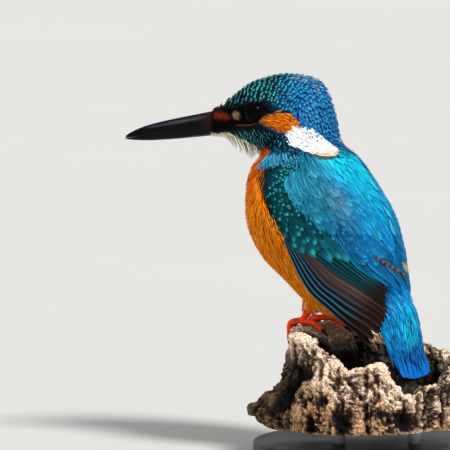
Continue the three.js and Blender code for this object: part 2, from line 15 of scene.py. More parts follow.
import bpy
import numpy as np
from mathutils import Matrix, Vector


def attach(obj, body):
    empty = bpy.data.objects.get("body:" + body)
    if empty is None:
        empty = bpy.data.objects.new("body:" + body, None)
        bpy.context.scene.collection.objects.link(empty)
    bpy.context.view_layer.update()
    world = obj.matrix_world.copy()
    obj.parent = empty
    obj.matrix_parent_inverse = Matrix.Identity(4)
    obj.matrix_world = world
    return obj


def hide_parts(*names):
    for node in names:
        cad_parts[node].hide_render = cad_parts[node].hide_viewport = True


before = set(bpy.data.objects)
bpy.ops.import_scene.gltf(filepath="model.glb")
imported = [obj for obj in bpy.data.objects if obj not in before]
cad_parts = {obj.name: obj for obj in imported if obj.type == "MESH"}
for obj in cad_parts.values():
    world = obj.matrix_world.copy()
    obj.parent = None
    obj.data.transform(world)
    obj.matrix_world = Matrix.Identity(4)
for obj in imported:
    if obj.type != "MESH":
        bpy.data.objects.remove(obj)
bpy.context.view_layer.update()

LOG = logging.getLogger("kingfisher")
METRE = 0.001  # one millimetre in metres
BODY = "root"
UP = np.array([0.0, 0.0, 1.0])
SIDES = (("left", 1), ("right", -1))
Array = np.ndarray
Rng = np.random.Generator
Pair = tuple[float, float]
Triple = tuple[float, float, float]
Grain = Triple | float
Curve = tuple[Pair, ...]
Faces = list[Array]
Material = bpy.types.Material
Piece = bpy.types.Object


# ---- Sums on whole arrays -----------------------------------------------------------


def unit(vectors: Array) -> Array:
    """The vectors at length one."""
    return vectors / np.maximum(np.linalg.norm(vectors, axis=-1, keepdims=True), 1e-9)


def dot(first: Array, second: Array) -> Array:
    """Dot products along the last axis."""
    return np.sum(first * second, axis=-1)


def ease(values: Array, low: float, high: float) -> Array:
    """0 below low, 1 above high, and 3t^2 - 2t^3 of the share t between them."""
    share = np.clip((np.asarray(values, float) - low) / (high - low), 0, 1)
    return share * share * (3 - 2 * share)


def bell(values: Array, width: float) -> Array:
    """1 at zero, falling away on both sides: exp(-(v / width)^2)."""
    return np.exp(-((values / width) ** 2))


def mix(first: Array, second: Array, share: Array) -> Array:
    """First where share is 0 and second where it is 1, in a straight line between."""
    share = np.asarray(share)[..., None]
    return np.asarray(first) * (1 - share) + np.asarray(second) * share


def colour(code: str) -> Array:
    """Linear colour of six display figures: ((c + 0.055) / 1.055)^2.4, or c / 12.92 when dark."""
    channel = np.array([int(code[k : k + 2], 16) for k in (0, 2, 4)]) / 255
    return np.where(channel < 0.04045, channel / 12.92, ((channel + 0.055) / 1.055) ** 2.4)


def circle(count: int) -> Array:
    """Even turns round a circle, in radians."""
    return np.arange(count) * 2 * np.pi / count


def travel(path: Array) -> Array:
    """Distance along a path of points, from its start."""
    return np.concatenate([[0], np.cumsum(np.linalg.norm(np.diff(path, axis=0), axis=1))])


def spline(knots: Array, place: Array) -> Array:
    """A Catmull-Rom curve through knots spaced one apart, its ends held.

    Args:
        knots: Values to pass through, first axis along the curve.
        place: Places along the curve, from 0 to one less than the number of knots.

    Returns:
        The sum of the four nearest knots by the cubic weights of t: (-t+2t^2-t^3)/2,
        (2-5t^2+3t^3)/2, (t+4t^2-3t^3)/2 and (-t^2+t^3)/2.
    """
    place = np.asarray(place, float)
    last = len(knots) - 1
    whole = np.clip(np.floor(place), 0, last - 1).astype(int)
    t = (place - whole)[(...,) + (None,) * (knots.ndim - 1)]
    weights = (-t + 2 * t**2 - t**3, 2 - 5 * t**2 + 3 * t**3, t + 4 * t**2 - 3 * t**3, -(t**2) + t**3)
    return sum(w / 2 * knots[np.clip(whole - 1 + k, 0, last)] for k, w in enumerate(weights))


def lattice_noise(points: Array, seed: int = 0) -> Array:
    """Smooth noise, hashed values on a unit lattice blended by 3t^2 - 2t^3.

    Args:
        points: Places, one unit a cell.
        seed: Number that picks the noise.

    Returns:
        A number from -1 to 1 for each place.
    """
    cell = np.floor(points).astype(np.int64)
    part = points - cell
    part = part * part * (3 - 2 * part)
    total = np.zeros(points.shape[:-1])
    for corner in np.ndindex(2, 2, 2):
        key = (cell + corner) * np.array([374761393, 668265263, 1274126177])
        mixed = (key.sum(-1) + seed * 974711) & 0xFFFFFFFF
        mixed = ((mixed ^ (mixed >> 13)) * 1103515245) & 0xFFFFFFFF
        mixed = ((mixed ^ (mixed >> 16)) * 69069) & 0xFFFFFFFF
        weight = np.prod(np.where(corner, part, 1 - part), axis=-1)
        total += weight * (mixed / 2**31 - 1)
    return total


def fractal(points: Array, octaves: int, seed: int = 0) -> Array:
    """Sum of lattice noise at doubling frequency and halving height."""
    return sum(lattice_noise(points * 2**k, seed + k) / 2**k for k in range(octaves))


# ---- The body's chart ---------------------------------------------------------------


@dataclass(frozen=True)
class Bearing:
    """An upright frame turned about a vertical axis: forward, height and left."""

    x: float
    y: float
    yaw: float

    @property
    def forward(self) -> Array:
        """Level direction that this part of the bird faces."""
        turn = np.radians(self.yaw)
        return np.array([-np.cos(turn), np.sin(turn), 0])

    @property
    def left(self) -> Array:
        """Level direction to the bird's left."""
        turn = np.radians(self.yaw)
        return np.array([-np.sin(turn), -np.cos(turn), 0])

    def point(self, forward: Array, height: Array, left: Array = 0.0) -> Array:
        """Axis plus forward and left along their directions, at that height."""
        forward, height, left = np.broadcast_arrays(forward, height, left)
        base = np.array([self.x, self.y, 0.0]) + height[..., None] * UP
        return base + forward[..., None] * self.forward + left[..., None] * self.left

    def forward_of(self, points: Array) -> Array:
        """How far forward of the axis each point lies."""
        return (points - np.array([self.x, self.y, 0.0])) @ self.forward


HEAD = Bearing(-3.8, 15.2, 6)
TRUNK = Bearing(4.6, 11, 38)
RIDGE_HEIGHT = 46.5  # top of the wood under the toes


def rib(at: Bearing, forward: float, height: float, *shape: float, left: float = 0.0) -> Array:
    """One cross-section: its middle and its reach to the back, the belly and the side.

    Args:
        at: Frame that the middle is placed in.
        forward: Middle's place forward of that frame's axis.
        height: Middle's height above the floor.
        shape: Yaw, tilt of the back direction towards the tail, and the reaches up,
            down and sideways.
        left: Middle's place to the left of the axis.

    Returns:
        Four rows: middle, up, down and side.
    """
    yaw, tilt, up, down, side = shape
    facing, lean = Bearing(0, 0, yaw), np.radians(tilt)
    dorsal = -np.sin(lean) * facing.forward + np.cos(lean) * UP
    return np.array([at.point(forward, height, left), up * dorsal, -down * dorsal, side * facing.left])


BODY_RIBS = (
    rib(HEAD, 28.7, 120.8, 6, 0, 5.7, 5.1, 5.1),  # 0 bill base
    rib(HEAD, 25.7, 121.9, 6, 0, 6.3, 6.2, 5.9),  # 1 lores
    rib(HEAD, 19.7, 124.3, 6, 0, 8.5, 9.4, 8.6),  # 2 forehead
    rib(HEAD, 13.1, 125.3, 6, 0, 11.6, 14.2, 11.5),  # 3 eye
    rib(HEAD, 5.9, 125.3, 6, 18, 15, 17.7, 14),  # 4 crown
    rib(HEAD, 0, 122.8, 8, 38, 17.6, 19, 15.5),  # 5 nape
    rib(HEAD, -1.9, 116.1, 16, 55, 17.3, 19.6, 17),  # 6 hind neck
    rib(TRUNK, 7.4, 106.2, 28, 62, 17.8, 21.4, 19.4),  # 7 shoulders
    rib(TRUNK, 2.9, 95.7, 38, 57, 22.6, 27.4, 21.2),  # 8 breast
    rib(TRUNK, -3.9, 85, 38, 55, 24, 26.8, 23),  # 9
    rib(TRUNK, -11.2, 75.6, 38, 55, 23.7, 23.4, 22.3),  # 10 belly
    rib(TRUNK, -17.8, 65.7, 38, 55, 21.3, 19.6, 19.6),  # 11 flanks
    rib(TRUNK, -22.7, 59.1, 38, 57, 18.8, 16, 16.6),  # 12 vent
    rib(TRUNK, -30.2, 54.4, 38, 62, 12.4, 12.6, 12.2),  # 13 rump
    rib(TRUNK, -36.8, 51.1, 38, 70, 8, 8, 10.6),  # 14
    rib(TRUNK, -40.6, 45, 38, 80, 4.6, 4.6, 10.8),  # 15 tail coverts
)
WING_ENDS = (
    rib(TRUNK, -28.4, 50.9, 38, 55, 18.4, 13, 13.9),
    rib(TRUNK, -34.2, 42.7, 38, 55, 17.6, 8, 11.8),
    rib(TRUNK, -39.9, 34.5, 38, 55, 16, 5, 9.8),
)
COVERT_ENDS = (  # where the rump's coverts close on the tail
    rib(TRUNK, -43.3, 38.4, 38, 74, 2.6, 2.2, 9.9),
    rib(TRUNK, -45.6, 32.0, 38, 71, 1.7, 1.0, 10.0),
)
LAST_STATION = 15.0


class Chart:
    """A surface named by two numbers, a station along it and an angle round it."""

    steps = (0.01, 0.5)

    def point(self, station: Array, angle: Array) -> Array:
        """Points of the surface."""
        raise NotImplementedError

    def slopes(self, station: Array, angle: Array) -> tuple[Array, Array]:
        """How points move along and round the surface.

        Args:
            station: Stations of the places.
            angle: Their angles.

        Returns:
            The move per station and per unit of angle, by differences over small steps.
        """
        fore, turn = self.steps
        along = (self.point(station + fore, angle) - self.point(station - fore, angle)) / fore
        around = (self.point(station, angle + turn) - self.point(station, angle - turn)) / turn
        return along / 2, around / 2

    def normal(self, station: Array, angle: Array) -> Array:
        """Outward unit normals: around crossed with along."""
        along, around = self.slopes(station, angle)
        return unit(np.cross(around, along))


class Loft(Chart):
    """A smooth body through ribs.

    The point at a station and angle is the middle, plus the reach up or down times the
    angle's cosine, plus the reach sideways times its sine, of the rib blended there.
    """

    def __init__(self, *ribs: Array) -> None:
        """Keeps the ribs as an array of (rib, four rows, xyz)."""
        self.ribs = np.array(ribs)

    def point(self, station: Array, angle: Array) -> Array:
        """Points of the body.

        Args:
            station: Stations; past the last rib the body goes straight on.
            angle: Angles in degrees.

        Returns:
            The points.
        """
        station, angle = np.broadcast_arrays(station, np.radians(angle))
        last = len(self.ribs) - 1
        blended = spline(self.ribs, np.clip(station, 0, last))
        cosine, sine = np.cos(angle)[..., None], np.sin(angle)[..., None]
        middle, up, down, side = np.moveaxis(blended, -2, 0)
        spare = (station - np.clip(station, 0, last))[..., None]
        ahead = np.where(spare > 0, self.ribs[-1, 0] - self.ribs[-2, 0], 0)
        ahead = ahead + np.where(spare < 0, self.ribs[1, 0] - self.ribs[0, 0], 0)
        bent = np.where(cosine > 0, cosine * up, -cosine * down)
        return middle + bent + sine * side + spare * ahead


BODY_CHART = Loft(*BODY_RIBS)
WING_CHART = Loft(*BODY_RIBS[:13], *WING_ENDS)
RUMP_CHART = Loft(*BODY_RIBS, *COVERT_ENDS)


# ---- Meshes -------------------------------------------------------------------------


def new_mesh(name: str, points: Array, faces: Faces) -> Piece:
    """A smooth mesh object at the origin.

    Args:
        name: The object's name.
        points: Corner points in millimetres, any shape ending in xyz.
        faces: Arrays of corner numbers, each with its own count of corners per row.

    Returns:
        The linked object.
    """
    flat = np.ascontiguousarray(points, float).reshape(-1, 3) * METRE
    corners = np.concatenate([f.ravel() for f in faces])
    sizes = np.concatenate([np.full(len(f), f.shape[1]) for f in faces])
    mesh = bpy.data.meshes.new(name)
    mesh.vertices.add(len(flat))
    mesh.vertices.foreach_set("co", flat.ravel())
    mesh.loops.add(len(corners))
    mesh.loops.foreach_set("vertex_index", corners.astype(np.int32))
    mesh.polygons.add(len(sizes))
    starts = np.concatenate([[0], np.cumsum(sizes)[:-1]])
    mesh.polygons.foreach_set("loop_start", starts.astype(np.int32))
    mesh.polygons.foreach_set("use_smooth", np.full(len(sizes), True))
    mesh.update(calc_edges=True)
    mesh.validate()
    made = bpy.data.objects.new(name, mesh)
    bpy.context.scene.collection.objects.link(made)
    return made


def add_attribute(made: Piece, name: str, values: Array) -> None:
    """Stores three or four numbers for each corner point under that name."""
    layer = made.data.attributes.new(name, "FLOAT_COLOR", "POINT")
    full = np.ones((len(made.data.vertices), 4))
    full[:, : values.shape[-1]] = values.reshape(-1, values.shape[-1])
    layer.data.foreach_set("color", full.ravel())


def on_map(station: Array, angle: Array) -> Array:
    """Bake places of the body: 0.03 + 0.94 of the shares of all stations and of a turn."""
    return np.stack([station / LAST_STATION, (angle + 180) / 360], -1) * 0.94 + 0.03


def add_bake_map(made: Piece, places: Array) -> None:
    """Stores one bake place for each loop."""
    made.data.uv_layers.new(name="OFBake").data.foreach_set("uv", places.ravel())


def place_piece(made: Piece, finish: Material, slot: str, *replaced: str) -> Piece:
    """Dresses a piece and rides it on the body.

    Args:
        made: The piece.
        finish: Its material.
        slot: Its slot; not used.
        replaced: CAD nodes that it stands for.

    Returns:
        The piece.
    """
    made.data.materials.append(finish)
    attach(made, BODY)
    if replaced:
        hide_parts(*replaced)
    LOG.info("%s: %d triangles", made.name, sum(len(p.vertices) - 2 for p in made.data.polygons))
    return made


def make_piece(
    name: str, skin: tuple[Array, Faces], tint: Array, finish: Material, slot: str, *replaced: str
) -> Piece:
    """A placed piece with a tint at its points.

    Args:
        name: The piece's name.
        skin: Its points and faces.
        tint: One colour, or one for each point.
        finish: Its material.
        slot: Its slot.
        replaced: CAD nodes that it stands for.

    Returns:
        The piece.
    """
    made = new_mesh(name, *skin)
    add_attribute(made, "tint", np.broadcast_to(tint, (len(made.data.vertices), tint.shape[-1])))
    return place_piece(made, finish, slot, *replaced)


def grid_faces(rows: int, columns: int) -> Array:
    """Quads of a grid of corner numbers, row by row, each row joining its own start.

    Args:
        rows: Number of rows of points.
        columns: Points in a row.

    Returns:
        An array of four corner numbers a face, turned so that along a row crossed with
        down the rows points outwards.
    """
    row, column = np.meshgrid(np.arange(rows - 1), np.arange(columns), indexing="ij")
    after = (column + 1) % columns
    quad = [row * columns + column, row * columns + after]
    quad += [(row + 1) * columns + after, (row + 1) * columns + column]
    return np.stack(quad, -1).reshape(-1, 4)


def closed_tube(rings: Array) -> tuple[Array, Faces]:
    """Points and faces of a closed skin round rings, with a fan of triangles at each end.

    Args:
        rings: Points as (ring, place round it, xyz), turned clockwise seen along the way.

    Returns:
        The points, and the faces as quads and triangles.
    """
    count, sides = rings.shape[:2]
    ends = np.stack([rings[0].mean(0), rings[-1].mean(0)])
    here = np.arange(sides)
    after = (here + 1) % sides
    top, first = (count - 1) * sides, count * sides
    fans = [np.stack([here * 0 + first, after, here], -1)]
    fans.append(np.stack([here * 0 + first + 1, top + here, top + after], -1))
    return np.concatenate([rings.reshape(-1, 3), ends]), [grid_faces(count, sides), np.concatenate(fans)]


def merge(parts: list[tuple[Array, Faces]]) -> tuple[Array, Faces]:
    """Several closed skins as one list of points and faces."""
    points, faces, start = [], [], 0
    for some, groups in parts:
        points.append(some)
        faces.extend(group + start for group in groups)
        start += len(some)
    return np.concatenate(points), faces


def sweep(path: Array, radius: Array, side: Array, sides: int = 16, flat: float = 1.0) -> Array:
    """Rings of a round bar along a path, with domed ends.

    Args:
        path: Points along the middle.
        radius: Radius at each, or at each and round it.
        side: A direction across the path, about level.
        sides: Places round a ring.
        flat: Height of the section over its width.

    Returns:
        Rings as (ring, place, xyz): middle + r cos(a) side + r sin(a) flat normal; the
        domes' radii are r sqrt(1 - s^2) at s r beyond each end.
    """
    radius = np.broadcast_to(np.asarray(radius, float).reshape(len(path), -1), (len(path), sides))
    tangent = unit(np.gradient(path, axis=0))
    shares = np.array([0.98, 0.85, 0.6, 0.3])  # where the domes' rings stand
    before = path[0] - tangent[0] * (shares * radius[0].mean())[:, None]
    after = path[-1] + tangent[-1] * (shares[::-1] * radius[-1].mean())[:, None]
    caps = np.sqrt(1 - shares**2)[:, None]
    path = np.concatenate([before, path, after])
    radius = np.concatenate([caps * radius[:1], radius, caps[::-1] * radius[-1:]])
    tangent = np.concatenate([tangent[:1]] * 4 + [tangent] + [tangent[-1:]] * 4)
    normal = unit(np.cross(tangent, side))
    across = np.cross(normal, tangent)
    turn = circle(sides)
    wide = np.cos(turn)[None, :, None] * across[:, None]
    high = np.sin(turn)[None, :, None] * normal[:, None] * flat
    return path[:, None] + radius[..., None] * (wide + high)


# ---- Finishes -----------------------------------------------------------------------


class Graph:
    """A material's nodes, made and joined by short calls."""

    def __init__(self, name: str) -> None:
        """Starts a material with one Principled shader."""
        self.material = bpy.data.materials.new(name)
        self.material.use_nodes = True
        self.tree = self.material.node_tree
        self.shader = self.tree.nodes["Principled BSDF"]

    def node(self, kind: str, inputs: dict | None = None, **settings: object) -> bpy.types.Node:
        """Adds a node.

        Args:
            kind: Its type, without what all types begin with.
            inputs: Numbers to set or sockets to join, by name or place.
            settings: The node's own settings.

        Returns:
            The node.
        """
        made = self.tree.nodes.new("ShaderNode" + kind)
        for key, value in settings.items():
            setattr(made, key, value)
        for key, value in (inputs or {}).items():
            self.put(made.inputs[key], value)
        return made

    def put(self, socket: bpy.types.NodeSocket, value: object) -> None:
        """Joins a socket to another, or sets it."""
        if isinstance(value, bpy.types.NodeSocket):
            self.tree.links.new(value, socket)
        else:
            socket.default_value = (*value, 1.0) if isinstance(value, np.ndarray) else value

    def attribute(self, name: str) -> bpy.types.Node:
        """Reads one of the mesh's own attributes."""
        return self.node("Attribute", attribute_name=name)

    def math(self, kind: str, *values: object) -> bpy.types.NodeSocket:
        """One sum on numbers."""
        return self.node("Math", dict(enumerate(values)), operation=kind).outputs[0]

    def noise(self, where: object, detail: float, rough: float) -> object:
        """Fractal noise from 0 to 1, one cell a unit."""
        inputs = {"Vector": where, "Scale": 1.0, "Detail": detail, "Roughness": rough}
        return self.node("TexNoise", inputs).outputs[0]

    def ramp(self, value: object, low: float, high: float, to: Pair = (0.0, 1.0)) -> object:
        """A smooth step from one number to another as value goes from low to high."""
        inputs = {0: value, 1: low, 2: high, 3: to[0], 4: to[1]}
        return self.node("MapRange", inputs, interpolation_type="SMOOTHSTEP").outputs[0]

    def blend(self, share: object, first: object, second: object) -> object:
        """Two colours mixed by a share."""
        made = self.node("Mix", data_type="RGBA", blend_type="MIX")
        for place, value in ((0, share), (6, first), (7, second)):
            self.put(made.inputs[place], value)
        return made.outputs[2]

    def tone(self, base: object, factor: object) -> object:
        """A colour made lighter or darker by a number."""
        return self.node("VectorMath", {0: base, "Scale": factor}, operation="SCALE").outputs[0]

    def bump(self, height: object, strength: float, distance: float) -> None:
        """Raises the surface by a height, over what is already raised."""
        made = self.node("Bump", {"Height": height, "Strength": strength, "Distance": distance})
        socket = self.shader.inputs["Normal"]
        if socket.is_linked:
            self.put(made.inputs["Normal"], socket.links[0].from_socket)
        self.put(socket, made.outputs[0])

    def finish(self, **sockets: object) -> Material:
        """Sets the shader's sockets by name, _ for a space."""
        for key, value in sockets.items():
            self.put(self.shader.inputs[key.replace("_", " ")], value)
        return self.material


BARB_SPACING = 0.42  # millimetres


@dataclass(frozen=True)
class PlumageFinish:
    """Feathers: their own tint, a light spot near the tip, combed streaks and barbs.

    The tint attribute is the colour, glow is the spot's colour with its strength, and
    vane holds the place across the vane, the place along it, a number of the vane's own
    and its length in millimetres.
    """

    name: str
    roughness: float = 0.55
    streak: float = 0.35  # how far combed streaks darken or lighten
    streaks: float = 5.0  # streaks across one vane
    spot_half: float = 0.4
    spot_from: float = 0.72
    spot_to: float = 0.97
    spot_blur: float = 0.07
    barb: float = 0.25  # strength of the barbs' relief
    specular: float = 0.18

    def build(self) -> Material:
        """The material's nodes."""
        g = Graph(self.name)
        glow, vane = g.attribute("glow"), g.attribute("vane")
        across, along, own = g.node("SeparateColor", {0: vane.outputs["Color"]}).outputs
        aside = g.math("ABSOLUTE", g.math("SUBTRACT", across, 0.5))
        half, blur = self.spot_half / 2, self.spot_blur
        wide = g.ramp(aside, half - blur, half + blur, (1.0, 0.0))
        begins = g.ramp(along, self.spot_from - blur, self.spot_from + blur)
        ends = g.ramp(along, self.spot_to - 0.04, self.spot_to + 0.04, (1.0, 0.0))
        spot = g.math("MULTIPLY", g.math("MULTIPLY", wide, begins), ends)
        spot = g.math("MULTIPLY", spot, glow.outputs["Alpha"])
        rows = {0: (across, self.streaks), 1: (along, 1.3), 2: (own, 37.0)}
        combed = g.node("CombineXYZ", {k: g.math("MULTIPLY", *pair) for k, pair in rows.items()})
        lines = g.noise(combed.outputs[0], 4.0, 0.65)
        shade = g.ramp(lines, 0.25, 0.75, (1 - self.streak, 1 + self.streak))
        shade = g.math("MULTIPLY", shade, g.ramp(own, 0.0, 1.0, (0.9, 1.2)))
        base = g.tone(g.attribute("tint").outputs["Color"], shade)
        base = g.blend(spot, base, glow.outputs["Color"])
        length = g.math("MULTIPLY", along, vane.outputs["Alpha"])
        slant = g.math("SUBTRACT", length, g.math("MULTIPLY", aside, 2.4))
        barbs = g.math("SINE", g.math("MULTIPLY", slant, 2 * np.pi / BARB_SPACING))
        g.bump(g.math("ADD", barbs, g.math("MULTIPLY", lines, 3.0)), self.barb, 0.00012)
        return g.finish(Base_Color=base, Roughness=self.roughness, Specular_IOR_Level=self.specular)


@dataclass(frozen=True)
class Layer:
    """One pattern of a finish on Object coordinates, and all that follows it.

    Its value goes from 0 to 1: fractal noise, or how far a place is from its cell's edge.
    """

    grain: Grain  # cells a metre
    detail: float = 3.0
    rough: float = 0.6
    span: Pair = (0.25, 0.75)  # values between which it acts
    hues: tuple[str, str] | None = None  # colours at its ends; no first one is what lies below
    most: float = 1.0  # share of the second hue at its end
    shade: Pair | None = None
    gloss: Pair | None = None
    relief: Pair | None = None  # strength, and height in metres
    even: bool = False  # hues follow the value itself
    cells: bool = False

    def value(self, g: Graph) -> object:
        """The pattern's number at each place."""
        inputs = {0: g.node("TexCoord").outputs["Object"], 1: np.broadcast_to(self.grain, 3).tolist()}
        where = g.node("VectorMath", inputs, operation="MULTIPLY").outputs[0]
        if not self.cells:
            return g.noise(where, self.detail, self.rough)
        made = g.node("TexVoronoi", {"Vector": where, "Scale": 1.0}, feature="DISTANCE_TO_EDGE")
        return g.ramp(made.outputs[0], 0.0, 0.16)


@dataclass(frozen=True)
class SurfaceFinish:
    """A surface whose tint is coloured, shaded, glossed and raised by layers in turn."""

    name: str
    layers: tuple[Layer, ...]
    roughness: float = 0.85
    specular: float = 0.2
    metallic: float = 0.0
    # painted shade: these factors darken sunk places, where the tint's fourth number is low
    raised: Pair | None = None  # factors where the tint's fourth number is 0 and 1
    inner: Pair = (0.0, 0.05)  # light that goes in: its weight, and its reach in metres
    plain: bool = False  # the same on every piece, whose tint it doesn't read

    def build(self) -> Material:
        """The material's nodes."""
        g = Graph(self.name)
        tint = None if self.plain else g.attribute("tint")
        base, rough = tint and tint.outputs["Color"], self.roughness
        for layer in self.layers:
            value = layer.value(g)
            if layer.hues:
                share = value if layer.even else g.ramp(value, *layer.span, (0.0, layer.most))
                first, second = (colour(code) if code else base for code in layer.hues)
                base = g.blend(share, first, second)
            if layer.shade:
                base = g.tone(base, g.ramp(value, *layer.span, layer.shade))
            if layer.gloss:
                rough = g.ramp(value, *layer.span, layer.gloss)
            if layer.relief:
                g.bump(value, *layer.relief)
        # painted shade: the tint's fourth number darkens sunk places and lightens raised ones
        if self.raised:
            base = g.tone(base, g.ramp(tint.outputs["Alpha"], 0.0, 1.0, self.raised))
        return g.finish(
            Base_Color=base, Roughness=rough, Specular_IOR_Level=self.specular, Metallic=self.metallic,
            Subsurface_Weight=self.inner[0], Subsurface_Scale=self.inner[1],
        )


def horn(name: str, grain: Grain, gloss: Pair, specular: float) -> SurfaceFinish:
    """Horn or bare hard skin.

    Args:
        name: The material's name.
        grain: Cells of its fine streaks in a metre.
        gloss: Roughness in its shiny and its dull places.
        specular: Strength of its reflection.

    Returns:
        The finish.
    """
    streaks = Layer(grain, 5, 0.65, shade=(0.65, 1.4), relief=(0.2, 0.0001))
    wear_and_sheen = Layer(260, span=(0.3, 0.7), shade=(0.8, 1.2), gloss=gloss)
    return SurfaceFinish(name, (streaks, wear_and_sheen), specular=specular)


class Surface(Enum):
    """The finishes of all that isn't plumage, and of the skin under it."""

    SKIN = SurfaceFinish(
        "skin_down", (Layer(1400, 4, 0.7, (0.2, 0.8), shade=(0.4, 0.95), relief=(0.6, 0.0002)),)
    )
    EYE = SurfaceFinish("eye_wet", (Layer(2500, 4, span=(0.2, 0.8), shade=(0.6, 1.4)),), 0.07, 0.05)
    FOOT = SurfaceFinish(
        "foot_scutes",
        (
            Layer(420, shade=(0.78, 1.18)),
            Layer(1500, span=(0.0, 1.0), shade=(0.84, 1.0), relief=(0.35, 0.0001), cells=True),
        ),
        0.42, 0.25, inner=(0.08, 0.0008),
    )
    WOOD = SurfaceFinish(
        "weathered_wood",
        (
            Layer(900, 6, 0.75, (0.3, 0.7), shade=(0.6, 1.35), relief=(0.8, 0.0006)),
            Layer((900, 900, 160), 6, 0.7, shade=(0.62, 1.32), relief=(0.6, 0.0005)),
            Layer(1700, 2, 0.7, (0.4, 0.62), shade=(0.52, 1.65)),
            Layer(110, 4, span=(0.5, 0.8), hues=("", "8d857d"), most=0.3),
        ),
        0.93, raised=(0.06, 1.12),
    )
    PAINT = SurfaceFinish(
        "stand_paint",
        (
            Layer(45, 4, span=(0.35, 0.7), hues=("26211f", "302a27")),
            Layer(45, 4, span=(0.3, 0.7), gloss=(0.34, 0.48)),
            Layer(1300, 2, relief=(0.12, 0.0001)),
        ),
        specular=0.5, plain=True,
    )
    STEEL = SurfaceFinish(
        "stand_steel",
        (
            Layer((60, 60, 9000), hues=("8f9296", "b4b6b8"), even=True, relief=(0.15, 0.00005)),
            Layer((60, 60, 9000), span=(0.2, 0.8), gloss=(0.25, 0.42)),
        ),
        specular=0.5, metallic=1.0, plain=True,
    )
    FLOOR = SurfaceFinish(
        "pale_floor", (Layer(3, hues=("c9c8c5", "cdccc9"), even=True),), 0.9, 0.1, plain=True
    )
    BILL = horn("bill_horn", (120, 900, 900), (0.26, 0.5), 0.12)
    CLAW = horn("claw_horn", (900, 900, 300), (0.3, 0.5), 0.12)
    LID = horn("lid_skin", 800, (0.6, 0.8), 0.03)

    @cache
    def material(self) -> Material:
        """The finish's one material, which its pieces share."""
        return self.value.build()


# ---- Markings -----------------------------------------------------------------------


@dataclass(frozen=True)
class Zone:
    """A patch of the head or neck by its outline seen from the side: (forward, height)."""

    outline: Curve
    soft: float = 0.5

    def depth(self, forward: Array, height: Array) -> Array:
        """How deep places lie in the patch.

        Args:
            forward: Places forward of the head's axis.
            height: Their heights.

        Returns:
            Distance to the outline's nearest side, negative outside, in millimetres.
        """
        place = np.stack([forward, height], -1)
        nearest = np.full(place.shape[:-1], 1e9)
        inside = np.zeros(place.shape[:-1], bool)
        ends = np.array(self.outline)
        for start, stop in zip(ends, np.roll(ends, -1, axis=0)):
            edge = stop - start
            share = np.clip(((place - start) @ edge) / (edge @ edge), 0, 1)
            gap = np.linalg.norm(place - start - share[..., None] * edge, axis=-1)
            nearest = np.minimum(nearest, gap)
            crosses = (start[1] > place[..., 1]) != (stop[1] > place[..., 1])
            meets = start[0] + (place[..., 1] - start[1]) * edge[0] / (edge[1] or 1e-9)
            inside ^= crosses & (place[..., 0] < meets)
        return np.where(inside, nearest, -nearest)


class Patch(Enum):
    """The marked patches of the head and neck."""

    EAR = Zone(
        ((11.2, 122.5), (8.4, 125.0), (6.2, 125.9), (1.0, 126.2), (-2.7, 125.5), (-4.6, 123.7))
        + ((-5.4, 122.0), (-3.0, 120.1), (-0.7, 118.4), (4.0, 119.3), (8.4, 121.0))
    )
    NECK_WHITE = Zone(
        ((0.6, 118.8), (-1.7, 121.2), (-5.0, 121.4), (-8.3, 121.0), (-10.8, 119.1), (-13.6, 116.4))
        + ((-16.4, 113.6), (-17.9, 111.8), (-17.3, 110.2), (-13.6, 110.2), (-10.0, 111.2))
        + ((-6.6, 112.6), (-4.4, 114.2), (-1.6, 115.7), (0.3, 117.0))
    )
    MALAR = Zone(
        ((26.0, 118.4), (19.9, 119.6), (14.2, 120.2), (9.8, 120.3), (5.6, 118.6), (0.7, 117.3))
        + ((-1.0, 115.3), (-4.1, 114.1), (-6.9, 111.8), (-6.2, 109.8), (-4.5, 110.1), (-1.1, 111.3))
        + ((3.9, 112.0), (8.7, 112.5), (12.3, 113.1), (16.6, 114.7), (21.5, 116.2))
    )
    LORE = Zone(
        ((29.6, 124.6), (28.6, 126.0), (25.4, 126.2), (23.0, 125.2), (21.6, 122.9), (25.0, 122.2))
        + ((28.6, 122.6),),
        0.4,
    )
    MASK = Zone(
        ((30.0, 128.0), (24.0, 127.4), (20.0, 127.6), (17.0, 128.6), (13.5, 130.0), (9.6, 129.2))
        + ((6.9, 127.2), (1.0, 127.0), (1.0, 126.3), (8.2, 125.6), (9.8, 123.9), (11.3, 122.5))
        + ((15.2, 121.2), (19.7, 120.2), (26.0, 118.4), (30.0, 117.4))
    )
    SHOULDER = Zone(
        ((10.4, 106.8), (8.6, 109.4), (5.4, 111.4), (2.0, 112.0), (-2.4, 111.2), (-5.2, 110.4))
        + ((-5.0, 107.6), (-3.3, 106.6), (0.1, 106.4), (2.2, 107.0), (5.8, 106.5), (9.1, 105.3)),
        0.4,
    )
    THROAT = Zone(
        ((34.0, 117.8), (27.0, 116.8), (21.5, 115.9), (16.5, 114.5), (13.4, 112.9), (13.8, 111.6))
        + ((17.0, 108.6), (22.0, 106.0), (34.0, 112.0)),
        0.6,
    )


PALE_SPOT = (20.3, 124.8)  # before the eye
EYE_PLACE = (12.6, 125.5)


